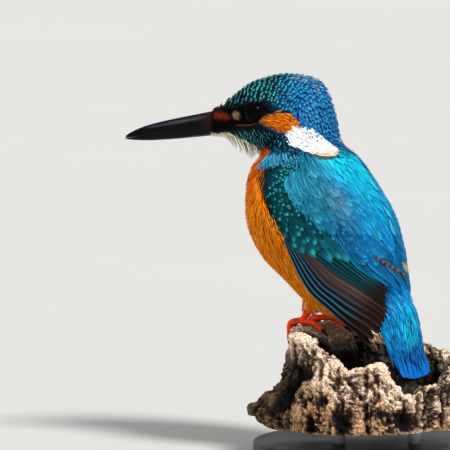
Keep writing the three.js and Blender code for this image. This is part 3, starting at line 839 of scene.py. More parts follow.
@dataclass
class Places:
    """Places of the body by chart and in space, and as the head's side view shows them."""

    station: Array
    angle: Array
    points: Array

    def __post_init__(self) -> None:
        """Works out the turn from the back on either side, and the side view."""
        self.count = len(self.station)
        self.turned = np.abs(self.angle)
        self.forward, self.height = HEAD.forward_of(self.points), self.points[..., 2]

    def kept(self, which: Array) -> "Places":
        """Only some of the places."""
        return Places(self.station[which], self.angle[which], self.points[which])

    def depth(self, patch: Patch, back: float = 0.0, down: float = 0.0) -> Array:
        """How deep each place, moved back and down, lies in a patch."""
        return patch.value.depth(self.forward - back, self.height - down)

    def share(self, patch: Patch) -> Array:
        """1 well inside a patch, 0 well outside, eased over its soft border."""
        return ease(self.depth(patch), -patch.value.soft, patch.value.soft)

    def clear_of_eye(self, margin: float) -> Array:
        """Whether each lies outside the lids' ring by a margin."""
        return np.hypot(self.forward - EYE_PLACE[0], self.height - EYE_PLACE[1]) > margin

    def beyond(self, edge: Array) -> Array:
        """How far each lies from an edge towards the belly, in degrees."""
        return self.turned - np.interp(self.station, *edge)


class Markings:
    """The bird's colours at any place of its body, shared by its skin and its coat.

    An edge is two rows, its stations and the angle that it lies at.
    """

    crown = colour("031a22")
    crown_dash = colour("3cc3c8")
    nape = colour("04528a")
    nape_spot = colour("20b2ea")
    mantle = colour("02e2ff")
    mantle_low = colour("02a4f2")
    rump = colour("0696da")
    side_blue = colour("0b86ba")
    scapular = colour("127c9c")
    covert = colour("033c46")
    covert_spot = colour("32b4b8")
    breast = colour("fb9406")
    breast_top = colour("e86406")
    belly = colour("ee9008")
    vent = colour("c27a2c")
    throat = colour("fffade")
    white = colour("ffffff")
    cream = colour("e6cf9a")
    ear = colour("e87a08")
    lore = colour("9c380c")
    lore_edge = colour("3c1008")
    lore_pale = colour("a08a6c")
    black = colour("080707")
    shoulder = colour("2f9cc4")

    cap_edge = np.array(
        [(0, 50), (1.5, 62), (2.4, 66), (3.1, 68), (3.6, 76), (4.2, 84), (5.0, 76), (5.4, 71)]
        + [(5.8, 66), (6.08, 60), (6.3, 46), (6.58, 31), (6.93, 20), (7.25, 18), (7.6, 14)]
    ).T
    back_edge = np.array(
        [(6.6, 40), (7.4, 42), (8.0, 37), (8.6, 26), (9.2, 22)]
        + [(11.5, 20), (12.2, 26), (13, 80), (15, 100)]
    ).T
    side_edge = np.array(
        [(6.3, 118), (6.65, 112), (6.93, 109), (7.4, 102), (7.8, 98), (8.6, 94), (9.7, 93)]
        + [(10.2, 96), (10.9, 101), (12, 108), (13, 100), (15, 112)]
    ).T

    def at(self, here: Places) -> Array:
        """Colour of each place.

        Args:
            here: Places on the body.

        Returns:
            Linear colours: the blue of the back and crown, then the orange under it, then
            each patch of the head over those, weighted by how far inside it a place is.
        """
        station, turned, forward, height = here.station, here.turned, here.forward, here.height
        blue = mix(self.crown, self.nape, ease(station, 3.2, 5.0))
        blue = mix(blue, self.mantle, ease(station, 6.9, 7.5))
        blue = mix(blue, self.mantle_low, ease(station, 8.0, 10.6))
        blue = mix(blue, self.rump, ease(station, 12.2, 13.2))
        beside = mix(self.scapular, self.covert, ease(turned, 66, 84))
        begins = np.maximum(ease(station, 6.9, 7.3), ease(turned, 76, 88) * ease(station, 6.3, 6.55))
        back = mix(blue, beside, ease(here.beyond(self.back_edge), -3, 5) * begins)
        low = mix(self.breast_top, self.breast, ease(station, 6.3, 7.6))
        low = mix(low, self.belly, ease(station, 9.0, 11.0))
        low = mix(low, self.vent, ease(station, 12.4, 13.6))
        made = mix(back, low, ease(here.beyond(self.side_edge), -1.5, 1.5) * ease(station, 3.4, 4.0))
        chin = ease(turned, 138, 150) * (1 - ease(station, 3.0, 3.6))
        made = mix(made, self.throat, np.maximum(here.share(Patch.THROAT), chin))
        lore = mix(self.lore_edge, self.lore, ease(here.depth(Patch.LORE), 0.1, 1.5))
        faded = 0.35 * ease(-height, -119.4, -118.2) * ease(-forward, -3, 1)
        over = {
            Patch.MALAR: mix(self.crown, colour("05304a"), ease(-forward, -9, 2)),
            Patch.EAR: mix(self.ear, self.cream, faded),
            Patch.NECK_WHITE: mix(self.white, self.cream, ease(-height, -112.2, -110.4)),
            Patch.MASK: self.black,
            Patch.LORE: lore,
        }
        for patch, hue in over.items():
            made = mix(made, hue, here.share(patch))
        near = np.hypot(forward - PALE_SPOT[0], height - PALE_SPOT[1])
        made = mix(made, self.lore_pale, ease(-near, -1.9, -1.0))
        return mix(made, self.shoulder, here.share(Patch.SHOULDER))


MARKINGS = Markings()


def flecked(base: Array, rng: Rng, *flecks: tuple[str, Array, float, float]) -> Array:
    """Colours of feathers of which some, picked at random, lean to other colours.

    Args:
        base: Colour of each feather.
        rng: Source of one number from 0 to 1 for each.
        flecks: Colour, strength, and the numbers between which a feather has it.

    Returns:
        The colours.
    """
    pick = rng.random(len(base))
    for code, strength, low, high in flecks:
        base = mix(base, colour(code), strength * ((pick >= low) & (pick < high)))
    return base


# ---- Vanes and tracts ---------------------------------------------------------------


ROW_POWER = 0.85  # under 1, a vane's rows lie closer towards its tip
LEAST_WIDTH = 0.06  # of a vane's ends, as a share of its width
MOST_STEPS = (0.16, 9)  # stations and degrees that a millimetre may cover
PAD_RADIUS = 0.12  # of the bake map's discs for vane ends, as a share of the patch
THREE, FIVE = (-1.0, 0.0, 1.0), (-1.0, -0.5, 0.0, 0.5, 1.0)
SEVEN = (-1.0, -0.66, -0.33, 0.0, 0.33, 0.66, 1.0)


@dataclass(frozen=True)
class VaneShape:
    """The outline and build of one kind of vane.

    Its half width is width/2 (1 - (1 - s)^rise) (1 - s^blunt)^tip at the share s of its
    length; the rows' ends are uneven by fray, and the middle stands over the edges by
    crown.
    """

    rows: int = 5
    across: tuple[float, ...] = THREE  # places of its columns
    rise: float = 3.0
    blunt: float = 4.0
    tip: float = 0.5
    fray: float = 0.0
    crown: float = 0.06
    thickness: float = 0.1


STRAND = VaneShape(rise=2.2, blunt=1.6, tip=0.8, crown=0.05)
LONG = VaneShape(6, rise=2.2, blunt=1.7, tip=0.8)
SCALE = VaneShape(6, FIVE, blunt=5, fray=0.1, crown=0.12)
SPIKE = VaneShape(7, rise=2.5, blunt=1.4, tip=0.9, crown=0.15)
BLADE = VaneShape(9, FIVE, blunt=1.7, tip=0.7, crown=0.05, thickness=0.06)
BROAD = VaneShape(8, SEVEN, rise=4, blunt=5, fray=0.06, crown=0.22)
COVERT = VaneShape(7, SEVEN, rise=4, blunt=3.6, fray=0.12, crown=0.03, thickness=0.07)


def round_trip(columns: int) -> Array:
    """Numbers of the columns over a vane and back under it."""
    return np.concatenate([np.arange(columns), np.arange(columns - 2, 0, -1)])


@dataclass
class Vanes:
    """Closed thin vanes: points (vane, row, place round, xyz) with where each lies."""

    points: Array
    across: Array  # 0 at the belly side of the vane, 1 at the back side
    along: Array
    station: Array
    angle: Array
    length: Array


def lay(
    chart: Chart, station: Array, angle: Array, lie: Array, length: Array, width: Array,
    lift: tuple[Array, Array], shape: VaneShape, rng: Rng, roll: float = 0.0,
) -> Vanes:
    """Lays vanes on a chart from their roots.

    Args:
        chart: Surface that they follow.
        station: Root stations.
        angle: Root angles.
        lie: Directions in space that they point along, turned into the surface.
        length: Lengths.
        width: Widths.
        lift: Heights over the chart at the root and at the tip.
        shape: Outline and build.
        rng: Source of the uneven ends.
        roll: How much the back-side edge stands over the belly-side edge.

    Returns:
        The vanes. A place y across and x along one is the root's chart place plus the
        steps that move x along the lie and y across it, lifted along the normal. The
        steps are held within bounds where the chart is pinched.
    """
    wide = np.array(shape.across)
    place = (np.arange(shape.rows) / (shape.rows - 1)) ** ROW_POWER
    along, around = chart.slopes(station, angle)
    normal = unit(np.cross(around, along))
    ahead = unit(lie - dot(lie, normal)[:, None] * normal)

    def step(direction: Array) -> tuple[Array, Array]:
        """Chart steps that move one millimetre in a direction of the surface."""
        aa, ar, rr = dot(along, along), dot(along, around), dot(around, around)
        pa, pr = dot(along, direction), dot(around, direction)
        whole = aa * rr - ar * ar
        steps = (pa * rr - pr * ar) / whole, (pr * aa - pa * ar) / whole
        return tuple(np.clip(v, -most, most)[:, None, None] for v, most in zip(steps, MOST_STEPS))

    forth, side = step(ahead), step(np.cross(normal, ahead))
    half = (1 - (1 - place) ** shape.rise) * (1 - place**shape.blunt) ** shape.tip
    half = np.maximum(half, LEAST_WIDTH)[None, :, None] * np.asarray(width).reshape(-1, 1, 1) / 2
    torn = 1 - shape.fray * rng.random((len(station), 1, len(wide))) * place[None, :, None] ** 3
    x = place[None, :, None] * torn * np.asarray(length).reshape(-1, 1, 1)
    y = half * wide
    u = station[:, None, None] + x * forth[0] + y * side[0]
    a = angle[:, None, None] + x * forth[1] + y * side[1]
    sign = np.where(angle >= 0, 1.0, -1.0)
    low, high = (np.asarray(v).reshape(-1, 1) for v in lift)
    climb = (low + (high - low) * place)[..., None] + shape.crown * (1 - wide**2) * np.ones_like(x)
    climb = climb + roll * sign[:, None, None] * wide * np.minimum(1, place * 3)[:, None]
    return wrap(chart, u, a, climb, shape.thickness, station, angle, length, sign)


def wrap(
    chart: Chart, u: Array, a: Array, climb: Array, thickness: float,
    station: Array, angle: Array, length: Array, sign: Array,
) -> Vanes:
    """Closes sheets on a chart into thin solid vanes.

    Args:
        chart: Surface that they lie over.
        u: Stations as (vane, row, column).
        a: Angles likewise.
        climb: Heights over the chart likewise.
        thickness: Thickness of the vane.
        station: Root stations.
        angle: Root angles.
        length: Lengths.
        sign: 1 where the columns run towards the back, -1 where they run from it.

    Returns:
        Vanes whose upper side is the sheet and whose lower side is it, sunk.
    """
    rows, columns = u.shape[1:]
    middle = columns // 2
    normal = chart.normal(u[..., middle], a[..., middle])[:, :, None]
    base = chart.point(u, a)
    under = (base + normal * (climb - thickness)[..., None])[:, :, columns - 2 : 0 : -1]
    points = np.concatenate([base + normal * climb[..., None], under], axis=2)
    share = round_trip(columns) / (columns - 1)
    across = np.where(sign[:, None] > 0, share, 1 - share)
    across = np.broadcast_to(across[:, None], points.shape[:3])
    along = np.broadcast_to((np.arange(rows) / (rows - 1))[:, None], points.shape[:3])
    return Vanes(points, across, along, station, angle, np.broadcast_to(length, station.shape))


@dataclass
class Coat:
    """One piece of plumage: many closed vanes joined into a single mesh."""

    name: str
    slot: str
    finish: Material
    patch: Pair = (0.003, 0.003)
    points: list = field(default_factory=list)
    faces: list = field(default_factory=list)
    tints: list = field(default_factory=list)
    glows: list = field(default_factory=list)
    vanes: list = field(default_factory=list)
    places: list = field(default_factory=list)
    count: int = 0

    def add(self, made: Vanes, tint: Array, glow: Array | None = None, seed: int = 0) -> None:
        """Takes in vanes.

        Args:
            made: The vanes.
            tint: Colour of each vane, or of each of its points.
            glow: Colour and strength of each vane's spot.
            seed: Seed of the vanes' own numbers.
        """
        count, rows, sides = full = made.points.shape[:3]
        own = np.random.default_rng(seed).random(count)[:, None, None]
        tint = tint if tint.ndim == 4 else tint[:, None, None, :]
        glow = np.zeros((count, 4)) if glow is None else glow
        spread = [made.across, made.along, own, made.length[:, None, None]]
        self.points.append(made.points.reshape(-1, 3))
        self.tints.append(np.broadcast_to(tint, (*full, 3)).reshape(-1, 3))
        self.glows.append(np.broadcast_to(glow[:, None, None], (*full, 4)).reshape(-1, 4))
        self.vanes.append(np.stack([np.broadcast_to(v, full) for v in spread], -1).reshape(-1, 4))
        one = grid_faces(rows, sides)[:, ::-1]
        first = np.arange(count)[:, None, None] * rows * sides
        ends = np.stack([np.arange(sides), (rows - 1) * sides + np.arange(sides)[::-1]])
        self.faces.append((self.count + first + one).reshape(-1, 4))
        self.faces.append((self.count + first + ends).reshape(-1, sides))
        root = np.clip(on_map(made.station, made.angle), 0.01, 0.99)
        local = np.stack([made.along - 0.5, made.across - 0.5], -1) * self.patch
        uv = (root[:, None, None] + local).reshape(-1, 2)
        turn = circle(sides)
        ring = PAD_RADIUS * np.stack([np.cos(turn), np.sin(turn)], -1) * min(self.patch)
        half = [self.patch[0] / 2, 0]
        tips = np.stack([root - half, root + half], 1)
        self.places += [uv[(first + one).reshape(-1)], (tips[:, :, None] + ring).reshape(-1, 2)]
        self.count += count * rows * sides

    def build(self, *replaced: str, crease: bool = False) -> None:
        """Writes the mesh and its attributes.

        Args:
            replaced: CAD nodes that the piece stands for.
            crease: Whether the vanes' sharp edges are shaded sharp.
        """
        made = new_mesh(self.name, np.concatenate(self.points), self.faces)
        for name, values in (("tint", self.tints), ("glow", self.glows), ("vane", self.vanes)):
            add_attribute(made, name, np.concatenate(values))
        add_bake_map(made, np.concatenate(self.places))
        if crease:
            made.data.set_sharp_from_angle(angle=1.0)
        place_piece(made, self.finish, self.slot, *replaced)


@dataclass
class Tract:
    """A field of like feathers on the body, spaced by area so that none lies too thick."""

    name: str
    seed: int
    stations: Pair
    angles: Pair  # degrees either side of the back; a low of 0 spans it
    gap: Pair  # spacing along and across
    length: float
    width: float
    lift: Pair
    shape: VaneShape = STRAND
    lean: float = 0.0  # stations that a row's middle of the back lies behind its sides
    jitter: float = 0.3
    turn: float = 0.0  # degrees that the lie turns towards the back
    roll: float = 0.0
    chart: Chart = BODY_CHART
    sizes: Pair = (0.82, 1.18)
    uneven_turn: float = 5.0  # degrees
    uneven_lift: float = 0.08

    def roots(self, rng: Rng) -> tuple[Array, Array]:
        """Places of the roots, in rows across the body.

        Args:
            rng: Source of their unevenness.

        Returns:
            Stations and angles. Along a row the area |along x around| is summed, and a
            root stands wherever the sum passes another feather's share of it.
        """
        fine = np.linspace(*self.stations, 300)
        low, high = self.angles
        run = travel(self.chart.point(fine, np.full_like(fine, max(30.0, (low + high) / 2))))
        rows = np.interp(np.arange(0, run[-1], self.gap[0]), run, fine)
        found = []
        for ends in ((low, high), (-high, -low)) if low else ((-high, high),):
            turns = np.linspace(*ends, 400)
            u = rows[:, None] + self.lean * np.cos(np.radians(turns))
            along, around = self.chart.slopes(u, np.broadcast_to(turns, u.shape))
            area = np.linalg.norm(np.cross(along, around), axis=-1)
            area = area * np.gradient(rows)[:, None] * (turns[1] - turns[0])
            running = np.cumsum(area, axis=1) / (self.gap[0] * self.gap[1])
            for k, count in enumerate(running):
                wanted = np.arange(0.25 + 0.5 * (k % 2), count[-1], 1.0)
                angle = np.interp(wanted, count, turns)
                found.append(np.stack([np.interp(angle, turns, u[k]), angle]))
        place = np.concatenate(found, axis=1)
        loose = rng.uniform(-1, 1, place.shape) * self.jitter
        steps = [np.linalg.norm(slope, axis=-1) for slope in self.chart.slopes(*place)]
        return tuple(p + off * gap / step for p, off, gap, step in zip(place, loose, self.gap, steps))

    def keep(self, here: Places) -> Array:
        """Which roots the tract has."""
        return np.ones(here.count, bool)

    def lie(self, here: Places, rng: Rng) -> Array:
        """Directions of the feathers.

        Args:
            here: Their roots.
            rng: Source of their unevenness.

        Returns:
            Vectors: cos t tailward + sin t backward, for the turn t towards the back.
        """
        along, around = self.chart.slopes(here.station, here.angle)
        normal = unit(np.cross(around, along))
        tailward = unit(along)
        backward = np.cross(normal, tailward) * np.where(here.angle >= 0, 1, -1)[:, None]
        turn = np.radians(self.turn + rng.normal(0, self.uneven_turn, here.count))[:, None]
        return np.cos(turn) * tailward + np.sin(turn) * backward

    def tint(self, here: Places, rng: Rng) -> Array:
        """Colours of the feathers."""
        return MARKINGS.at(here)

    def glow(self, here: Places, rng: Rng) -> Array | None:
        """Spots of the feathers: colour and strength."""
        return None

    def size(self, here: Places, rng: Rng) -> Array:
        """How much longer or shorter than the tract's length each feather is."""
        return rng.uniform(*self.sizes, here.count)

    def grow(self, coat: Coat) -> None:
        """Lays the tract's feathers.

        Args:
            coat: Piece that takes them.
        """
        rng = np.random.default_rng(self.seed)
        place = self.roots(rng)
        here = Places(*place, self.chart.point(*place))
        here = here.kept(self.keep(here))
        size = self.size(here, rng)
        length, wide = self.length * size, self.width * np.sqrt(size)
        lift = tuple(v + rng.normal(0, self.uneven_lift, here.count) for v in self.lift)
        lie = self.lie(here, rng)
        place = here.station, here.angle
        made = lay(self.chart, *place, lie, length, wide, lift, self.shape, rng, self.roll)
        tint = self.tint(here, rng)
        coat.add(made, tint, self.glow(here, rng), self.seed)
        LOG.info("  %s: %d vanes", self.name, here.count)


class CrownTract(Tract):
    """The cap: near-black feathers, each with one bright dash, in arcs over the head."""

    def keep(self, here: Places) -> Array:
        """The cap down to its edge, clear of the patches below it."""
        inside = (here.beyond(MARKINGS.cap_edge) < 3) & (here.depth(Patch.LORE) < -0.3)
        for patch in (Patch.NECK_WHITE, Patch.EAR):
            inside &= (here.depth(patch) < -0.5) & (here.depth(patch, 3.0, 1.4) < -0.2)
        return inside & here.clear_of_eye(3.9)

    def tint(self, here: Places, rng: Rng) -> Array:
        """Green-black in front, deep blue behind, some feathers brownish grey at the top as a painted
        highlight.
        """
        # painted highlight: some feathers on the top of the crown turned brownish grey
        wear_and_sheen = (rng.random(here.count) < 0.45) & (here.turned < 28)
        wear_and_sheen &= (here.station > 3.9) & (here.station < 5.0)
        return mix(MARKINGS.at(here), colour("7a757c"), 0.75 * wear_and_sheen)

    def size(self, here: Places, rng: Rng) -> Array:
        """Shorter towards the bill."""
        return rng.uniform(0.85, 1.15, here.count) * (0.5 + 0.5 * ease(here.station, 0.4, 2.4))

    def glow(self, here: Places, rng: Rng) -> Array:
        """Turquoise dashes in front, turning bright blue behind, fading to the mask."""
        station, count = here.station, here.count
        hue = mix(MARKINGS.crown_dash, MARKINGS.nape_spot, ease(station, 3.0, 4.9))
        hue = mix(hue, colour("1282cc"), ease(here.turned, 46, 70) * ease(station, 4.2, 5.2))
        hue = hue * rng.uniform(0.55, 1.15, (count, 1))
        strength = rng.uniform(0.55, 1.0, count) * ease(station, 0.7, 1.5)
        strength = strength * (1 - ease(station, 4.4, 6.4) * rng.uniform(0.0, 0.95, count))
        strength = strength * (1 - 0.75 * here.share(Patch.MASK))
        strength = strength * ease(-here.beyond(MARKINGS.cap_edge), -2, 7)
        return np.concatenate([hue, strength[:, None]], -1)


@dataclass
class PatchTract(Tract):
    """Soft hair-like feathers that fill one patch of the head or neck."""

    patch: Patch = Patch.EAR
    heading: Pair = (1.0, 0.35)  # back and down
    margin: float = 0.0
    spread: float = 0.1

    def keep(self, here: Places) -> Array:
        """Roots and tips inside the patch, clear of the lids."""
        reach = np.array(self.heading) / np.hypot(*self.heading) * self.length * 0.8
        inside = (here.depth(self.patch) > self.margin) & (here.depth(self.patch, *reach) > self.margin)
        return inside & here.clear_of_eye(3.6)

    def lie(self, here: Places, rng: Rng) -> Array:
        """The patch's own direction, a little uneven."""
        heading = -self.heading[0] * HEAD.forward - self.heading[1] * UP
        return heading + rng.normal(0, self.spread, (here.count, 3))


class MalarTract(PatchTract):
    """The stripe under the cheek: dark with teal dashes in front, deep blue behind."""

    def keep(self, here: Places) -> Array:
        """Inside the stripe."""
        return here.depth(Patch.MALAR) > 0.0

    def glow(self, here: Places, rng: Rng) -> Array:
        """Teal dashes that turn blue and scarcer behind."""
        hue = mix(colour("34b0b0"), colour("1c7cb4"), ease(-here.forward, -12, 0))
        hue = hue * rng.uniform(0.5, 1.2, (here.count, 1))
        strength = rng.uniform(0.25, 1.0, here.count) * (1 - 0.35 * ease(-here.forward, -8, 2))
        return np.concatenate([hue, strength[:, None]], -1)


class EarTract(PatchTract):
    """The orange ear coverts."""

    def tint(self, here: Places, rng: Rng) -> Array:
        """Orange, some strands redder and some straw."""
        return flecked(MARKINGS.at(here), rng, ("8a3206", 0.75, 0, 0.16), ("f5a83a", 0.55, 0.8, 1))


class NeckTract(PatchTract):
    """The white neck patch, cream at its lower ends."""

    def tint(self, here: Places, rng: Rng) -> Array:
        """White, and cream with brown ends low down."""
        low = ease(-here.height, -114.2, -111.8)
        return mix(MARKINGS.white, MARKINGS.cream, low * rng.uniform(0.2, 1, here.count))


class MaskTract(PatchTract):
    """Tiny bristles of the black mask and the chestnut spot before the eye."""

    def keep(self, here: Places) -> Array:
        """The mask and the spot in it, clear of the lids."""
        inside = (here.depth(Patch.MASK) > -0.4) | (here.depth(Patch.LORE) > -0.4)
        return inside & (here.depth(Patch.EAR) < 0.2) & here.clear_of_eye(3.5)

    def tint(self, here: Places, rng: Rng) -> Array:
        """The markings, some bristles lighter and some darker."""
        return MARKINGS.at(here) * rng.uniform(0.5, 1.4, (here.count, 1))


class ThroatTract(Tract):
    """The throat, cream-white, its longer ends hanging free."""

    def keep(self, here: Places) -> Array:
        """The pale throat below the stripe."""
        inside = (here.depth(Patch.THROAT) > -0.3) | ((here.turned > 140) & (here.station < 3.2))
        return inside & (here.depth(Patch.MALAR) < 0.2)

    def lie(self, here: Places, rng: Rng) -> Array:
        """Back along the jaw and down."""
        back = 1.0 - 0.5 * ease(here.station, 1.5, 4.0)
        lie = -back[:, None] * HEAD.forward - (0.55 + 0.5 * ease(here.station, 1, 4))[:, None] * UP
        return lie + rng.normal(0, 0.12, (here.count, 3))

    def tint(self, here: Places, rng: Rng) -> Array:
        """Cream, whiter towards the chin, orange where the breast begins."""
        base = mix(MARKINGS.throat, MARKINGS.white, 0.6 * rng.random(here.count))
        return mix(base, MARKINGS.cream, 0.5 * ease(here.station, 3.0, 5.5) * rng.random(here.count))


class BreastTract(Tract):
    """Silky orange strands of the breast, belly and flanks."""

    def keep(self, here: Places) -> Array:
        """Below the wing's edge and behind the throat, under neither patch nor stripe."""
        inside = (here.beyond(MARKINGS.side_edge) > -4.5) & (here.depth(Patch.THROAT) <= 0.3)
        for patch in (Patch.MALAR, Patch.NECK_WHITE, Patch.EAR):
            inside &= here.depth(patch) < 0.0
        inside &= here.depth(Patch.SHOULDER) < -0.6
        inside &= (here.angle > 0) | (here.depth(Patch.SHOULDER, 0.0, 2.4) < 0.2)
        return inside & ((here.turned < 140) | (here.station > 3.1))

    def tint(self, here: Places, rng: Rng) -> Array:
        """Orange, deeper towards the middle of the breast as painted shade, with red and straw strands."""
        # painted shade: the breast's front, down its middle, darkened to a deeper orange
        front = ease(here.turned, 135, 170) * (1 - ease(here.station, 10.5, 12.5))
        base = mix(MARKINGS.at(here), colour("cf6206"), 0.5 * front)
        base = flecked(base, rng, ("c04c06", 0.5, 0, 0.16), ("fbb548", 0.5, 0.78, 1))
        return base * rng.uniform(0.85, 1.1, (here.count, 1))


class BackTract(Tract):
    """Glossy silky strands down the back and over the rump."""

    def keep(self, here: Places) -> Array:
        """The bright stripe between the wings, and all the rump's upper side."""
        inside = (here.beyond(MARKINGS.back_edge) < 4) & (here.depth(Patch.NECK_WHITE) < -0.2)
        return inside & (here.station > 7.0 - 0.25 * ease(here.turned, 10, 35))

    def tint(self, here: Places, rng: Rng) -> Array:
        """Cyan-blue with lighter and darker strands, duller at the stripe's sides."""
        light = 0.5 - 0.25 * ease(here.station, 12.4, 13.4)
        base = flecked(MARKINGS.at(here), rng, ("50f0ff", light, 0, 0.22), ("0666a8", 0.55, 0.82, 1))
        dull = ease(here.beyond(MARKINGS.back_edge), -6, 4) * (1 - ease(here.station, 12, 12.8))
        return mix(base, MARKINGS.side_blue, 0.5 * dull)


class TailCovertTract(BackTract):
    """Longer, broader feathers over the tail's root, narrowing to its middle."""

    def keep(self, here: Places) -> Array:
        """Fewer towards the sides further down, so that the ends are ragged."""
        return here.turned < 88 - 26 * ease(here.station, 14.2, 15.3)

    def tint(self, here: Places, rng: Rng) -> Array:
        """Azure, turning to the tail's blue further down, with dark and cyan feathers."""
        base = mix(colour("0488c8"), colour("0560ac"), ease(here.station, 13.2, 14.8))
        bright = (1 - ease(here.turned, 14, 42)) * (1 - ease(here.station, 13.5, 14.7))
        base = mix(base, colour("08c4e8"), 0.7 * bright)
        light = 0.55 * (1 - 0.7 * ease(here.station, 13.8, 14.8))
        base = flecked(base, rng, ("14b4e0", light, 0, 0.25), ("05305c", 0.7, 0.84, 1))
        return base * rng.uniform(0.85, 1.1, (here.count, 1))


class ScapularTract(Tract):
    """Long hair-streaked shoulder feathers that fall over the wing's coverts."""

    lower = np.array(
        [(6.9, 58), (7.2, 65), (7.6, 69), (8.3, 70), (8.7, 66), (9.0, 62), (9.5, 56), (9.95, 51)]
        + [(10.4, 46), (10.75, 38), (11.0, 27), (11.15, 8)]
    ).T

    def keep(self, here: Places) -> Array:
        """From beside the back's stripe down to a ragged lower edge."""
        inside = (here.beyond(MARKINGS.back_edge) > -6) & (here.beyond(self.lower) < 0)
        return inside & (here.depth(Patch.NECK_WHITE) < 0.0) & (here.depth(Patch.SHOULDER) < 0.4)

    def lie(self, here: Places, rng: Rng) -> Array:
        """Tailward, fanned: outward at the front edge, inward behind."""
        _, around = self.chart.slopes(here.station, here.angle)
        backward = -unit(around) * np.where(here.angle >= 0, 1, -1)[:, None]
        fan = 0.22 * ease(50 - here.turned, -10, 20) - 0.05
        return super().lie(here, rng) + fan[:, None] * backward

    def tint(self, here: Places, rng: Rng) -> Array:
        """Teal with light and dark hairs, a greyer drift near the back as a painted highlight, bluer
        behind.
        """
        station, turned = here.station, here.turned
        base = mix(MARKINGS.scapular, colour("2f9cb4"), 0.55 * bell(station - 7.6, 0.5))
        base = mix(base, colour("0868a4"), ease(station, 8.6, 10.2) * (1 - ease(turned, 50, 68)))
        inner = (1 - ease(turned, 24, 46)) * (1 - 0.5 * ease(station, 9.5, 10.8))
        base = mix(base, colour("06a6dc"), 0.85 * inner)
        # painted highlight: a grey drift over some hairs near the back
        wear_and_sheen = bell(station - 8.7, 0.6) * bell(turned - 38, 7)
        base = mix(base, colour("9aa6b8"), 0.6 * wear_and_sheen * rng.random(here.count))
        return flecked(base, rng, ("4cb6c8", 0.45, 0, 0.2), ("06546f", 0.45, 0.8, 1))


class ShoulderTract(PatchTract):
    """The light-blue band on the breast's side, ragged where it meets the wing."""

    def tint(self, here: Places, rng: Rng) -> Array:
        """Light blue, greener towards the back."""
        base = mix(MARKINGS.shoulder, colour("127f9c"), 0.8 * ease(-here.forward, -2.5, 3.5))
        base = flecked(base, rng, ("7cc4d8", 0.35, 0, 0.35))
        return base * rng.uniform(0.88, 1.12, (here.count, 1))


class FringeTract(BreastTract):
    """Orange strands that stray over the wing's edge."""

    def keep(self, here: Places) -> Array:
        """A narrow band at the wing's edge."""
        beside = here.beyond(MARKINGS.side_edge)
        return (beside > 1.5) & (beside < 8)


class DownTract(Tract):
    """A wisp of cream down over the left wing's inner edge."""

    def keep(self, here: Places) -> Array:
        """One side only."""
        return (here.angle > -24) & (here.angle < -11)

    def tint(self, here: Places, rng: Rng) -> Array:
        """Cream, some strands brown."""
        return flecked(np.tile(MARKINGS.cream, (here.count, 1)), rng, ("5a4232", 0.8, 0, 0.3))


class ThighTract(Tract):
    """Short orange-red feathers of the thigh, down to the bare leg."""

    def tint(self, here: Places, rng: Rng) -> Array:
        """Orange above, redder below."""
        low = ease(here.station, 0.5, 3.0) * rng.random(here.count) ** 0.3
        return mix(colour("ea7a0c"), colour("d8400a"), low)


# ---- Wings and tail -----------------------------------------------------------------


def wing_front(turned: Array) -> Array:
    """Station of the wing's front edge: 6.86 + 0.1 x^2 + 0.55 x^4, x = (angle - 58) / 40."""
    from_middle = (turned - 58) / 40
    return 6.86 + 0.55 * from_middle**4 + 0.1 * from_middle**2


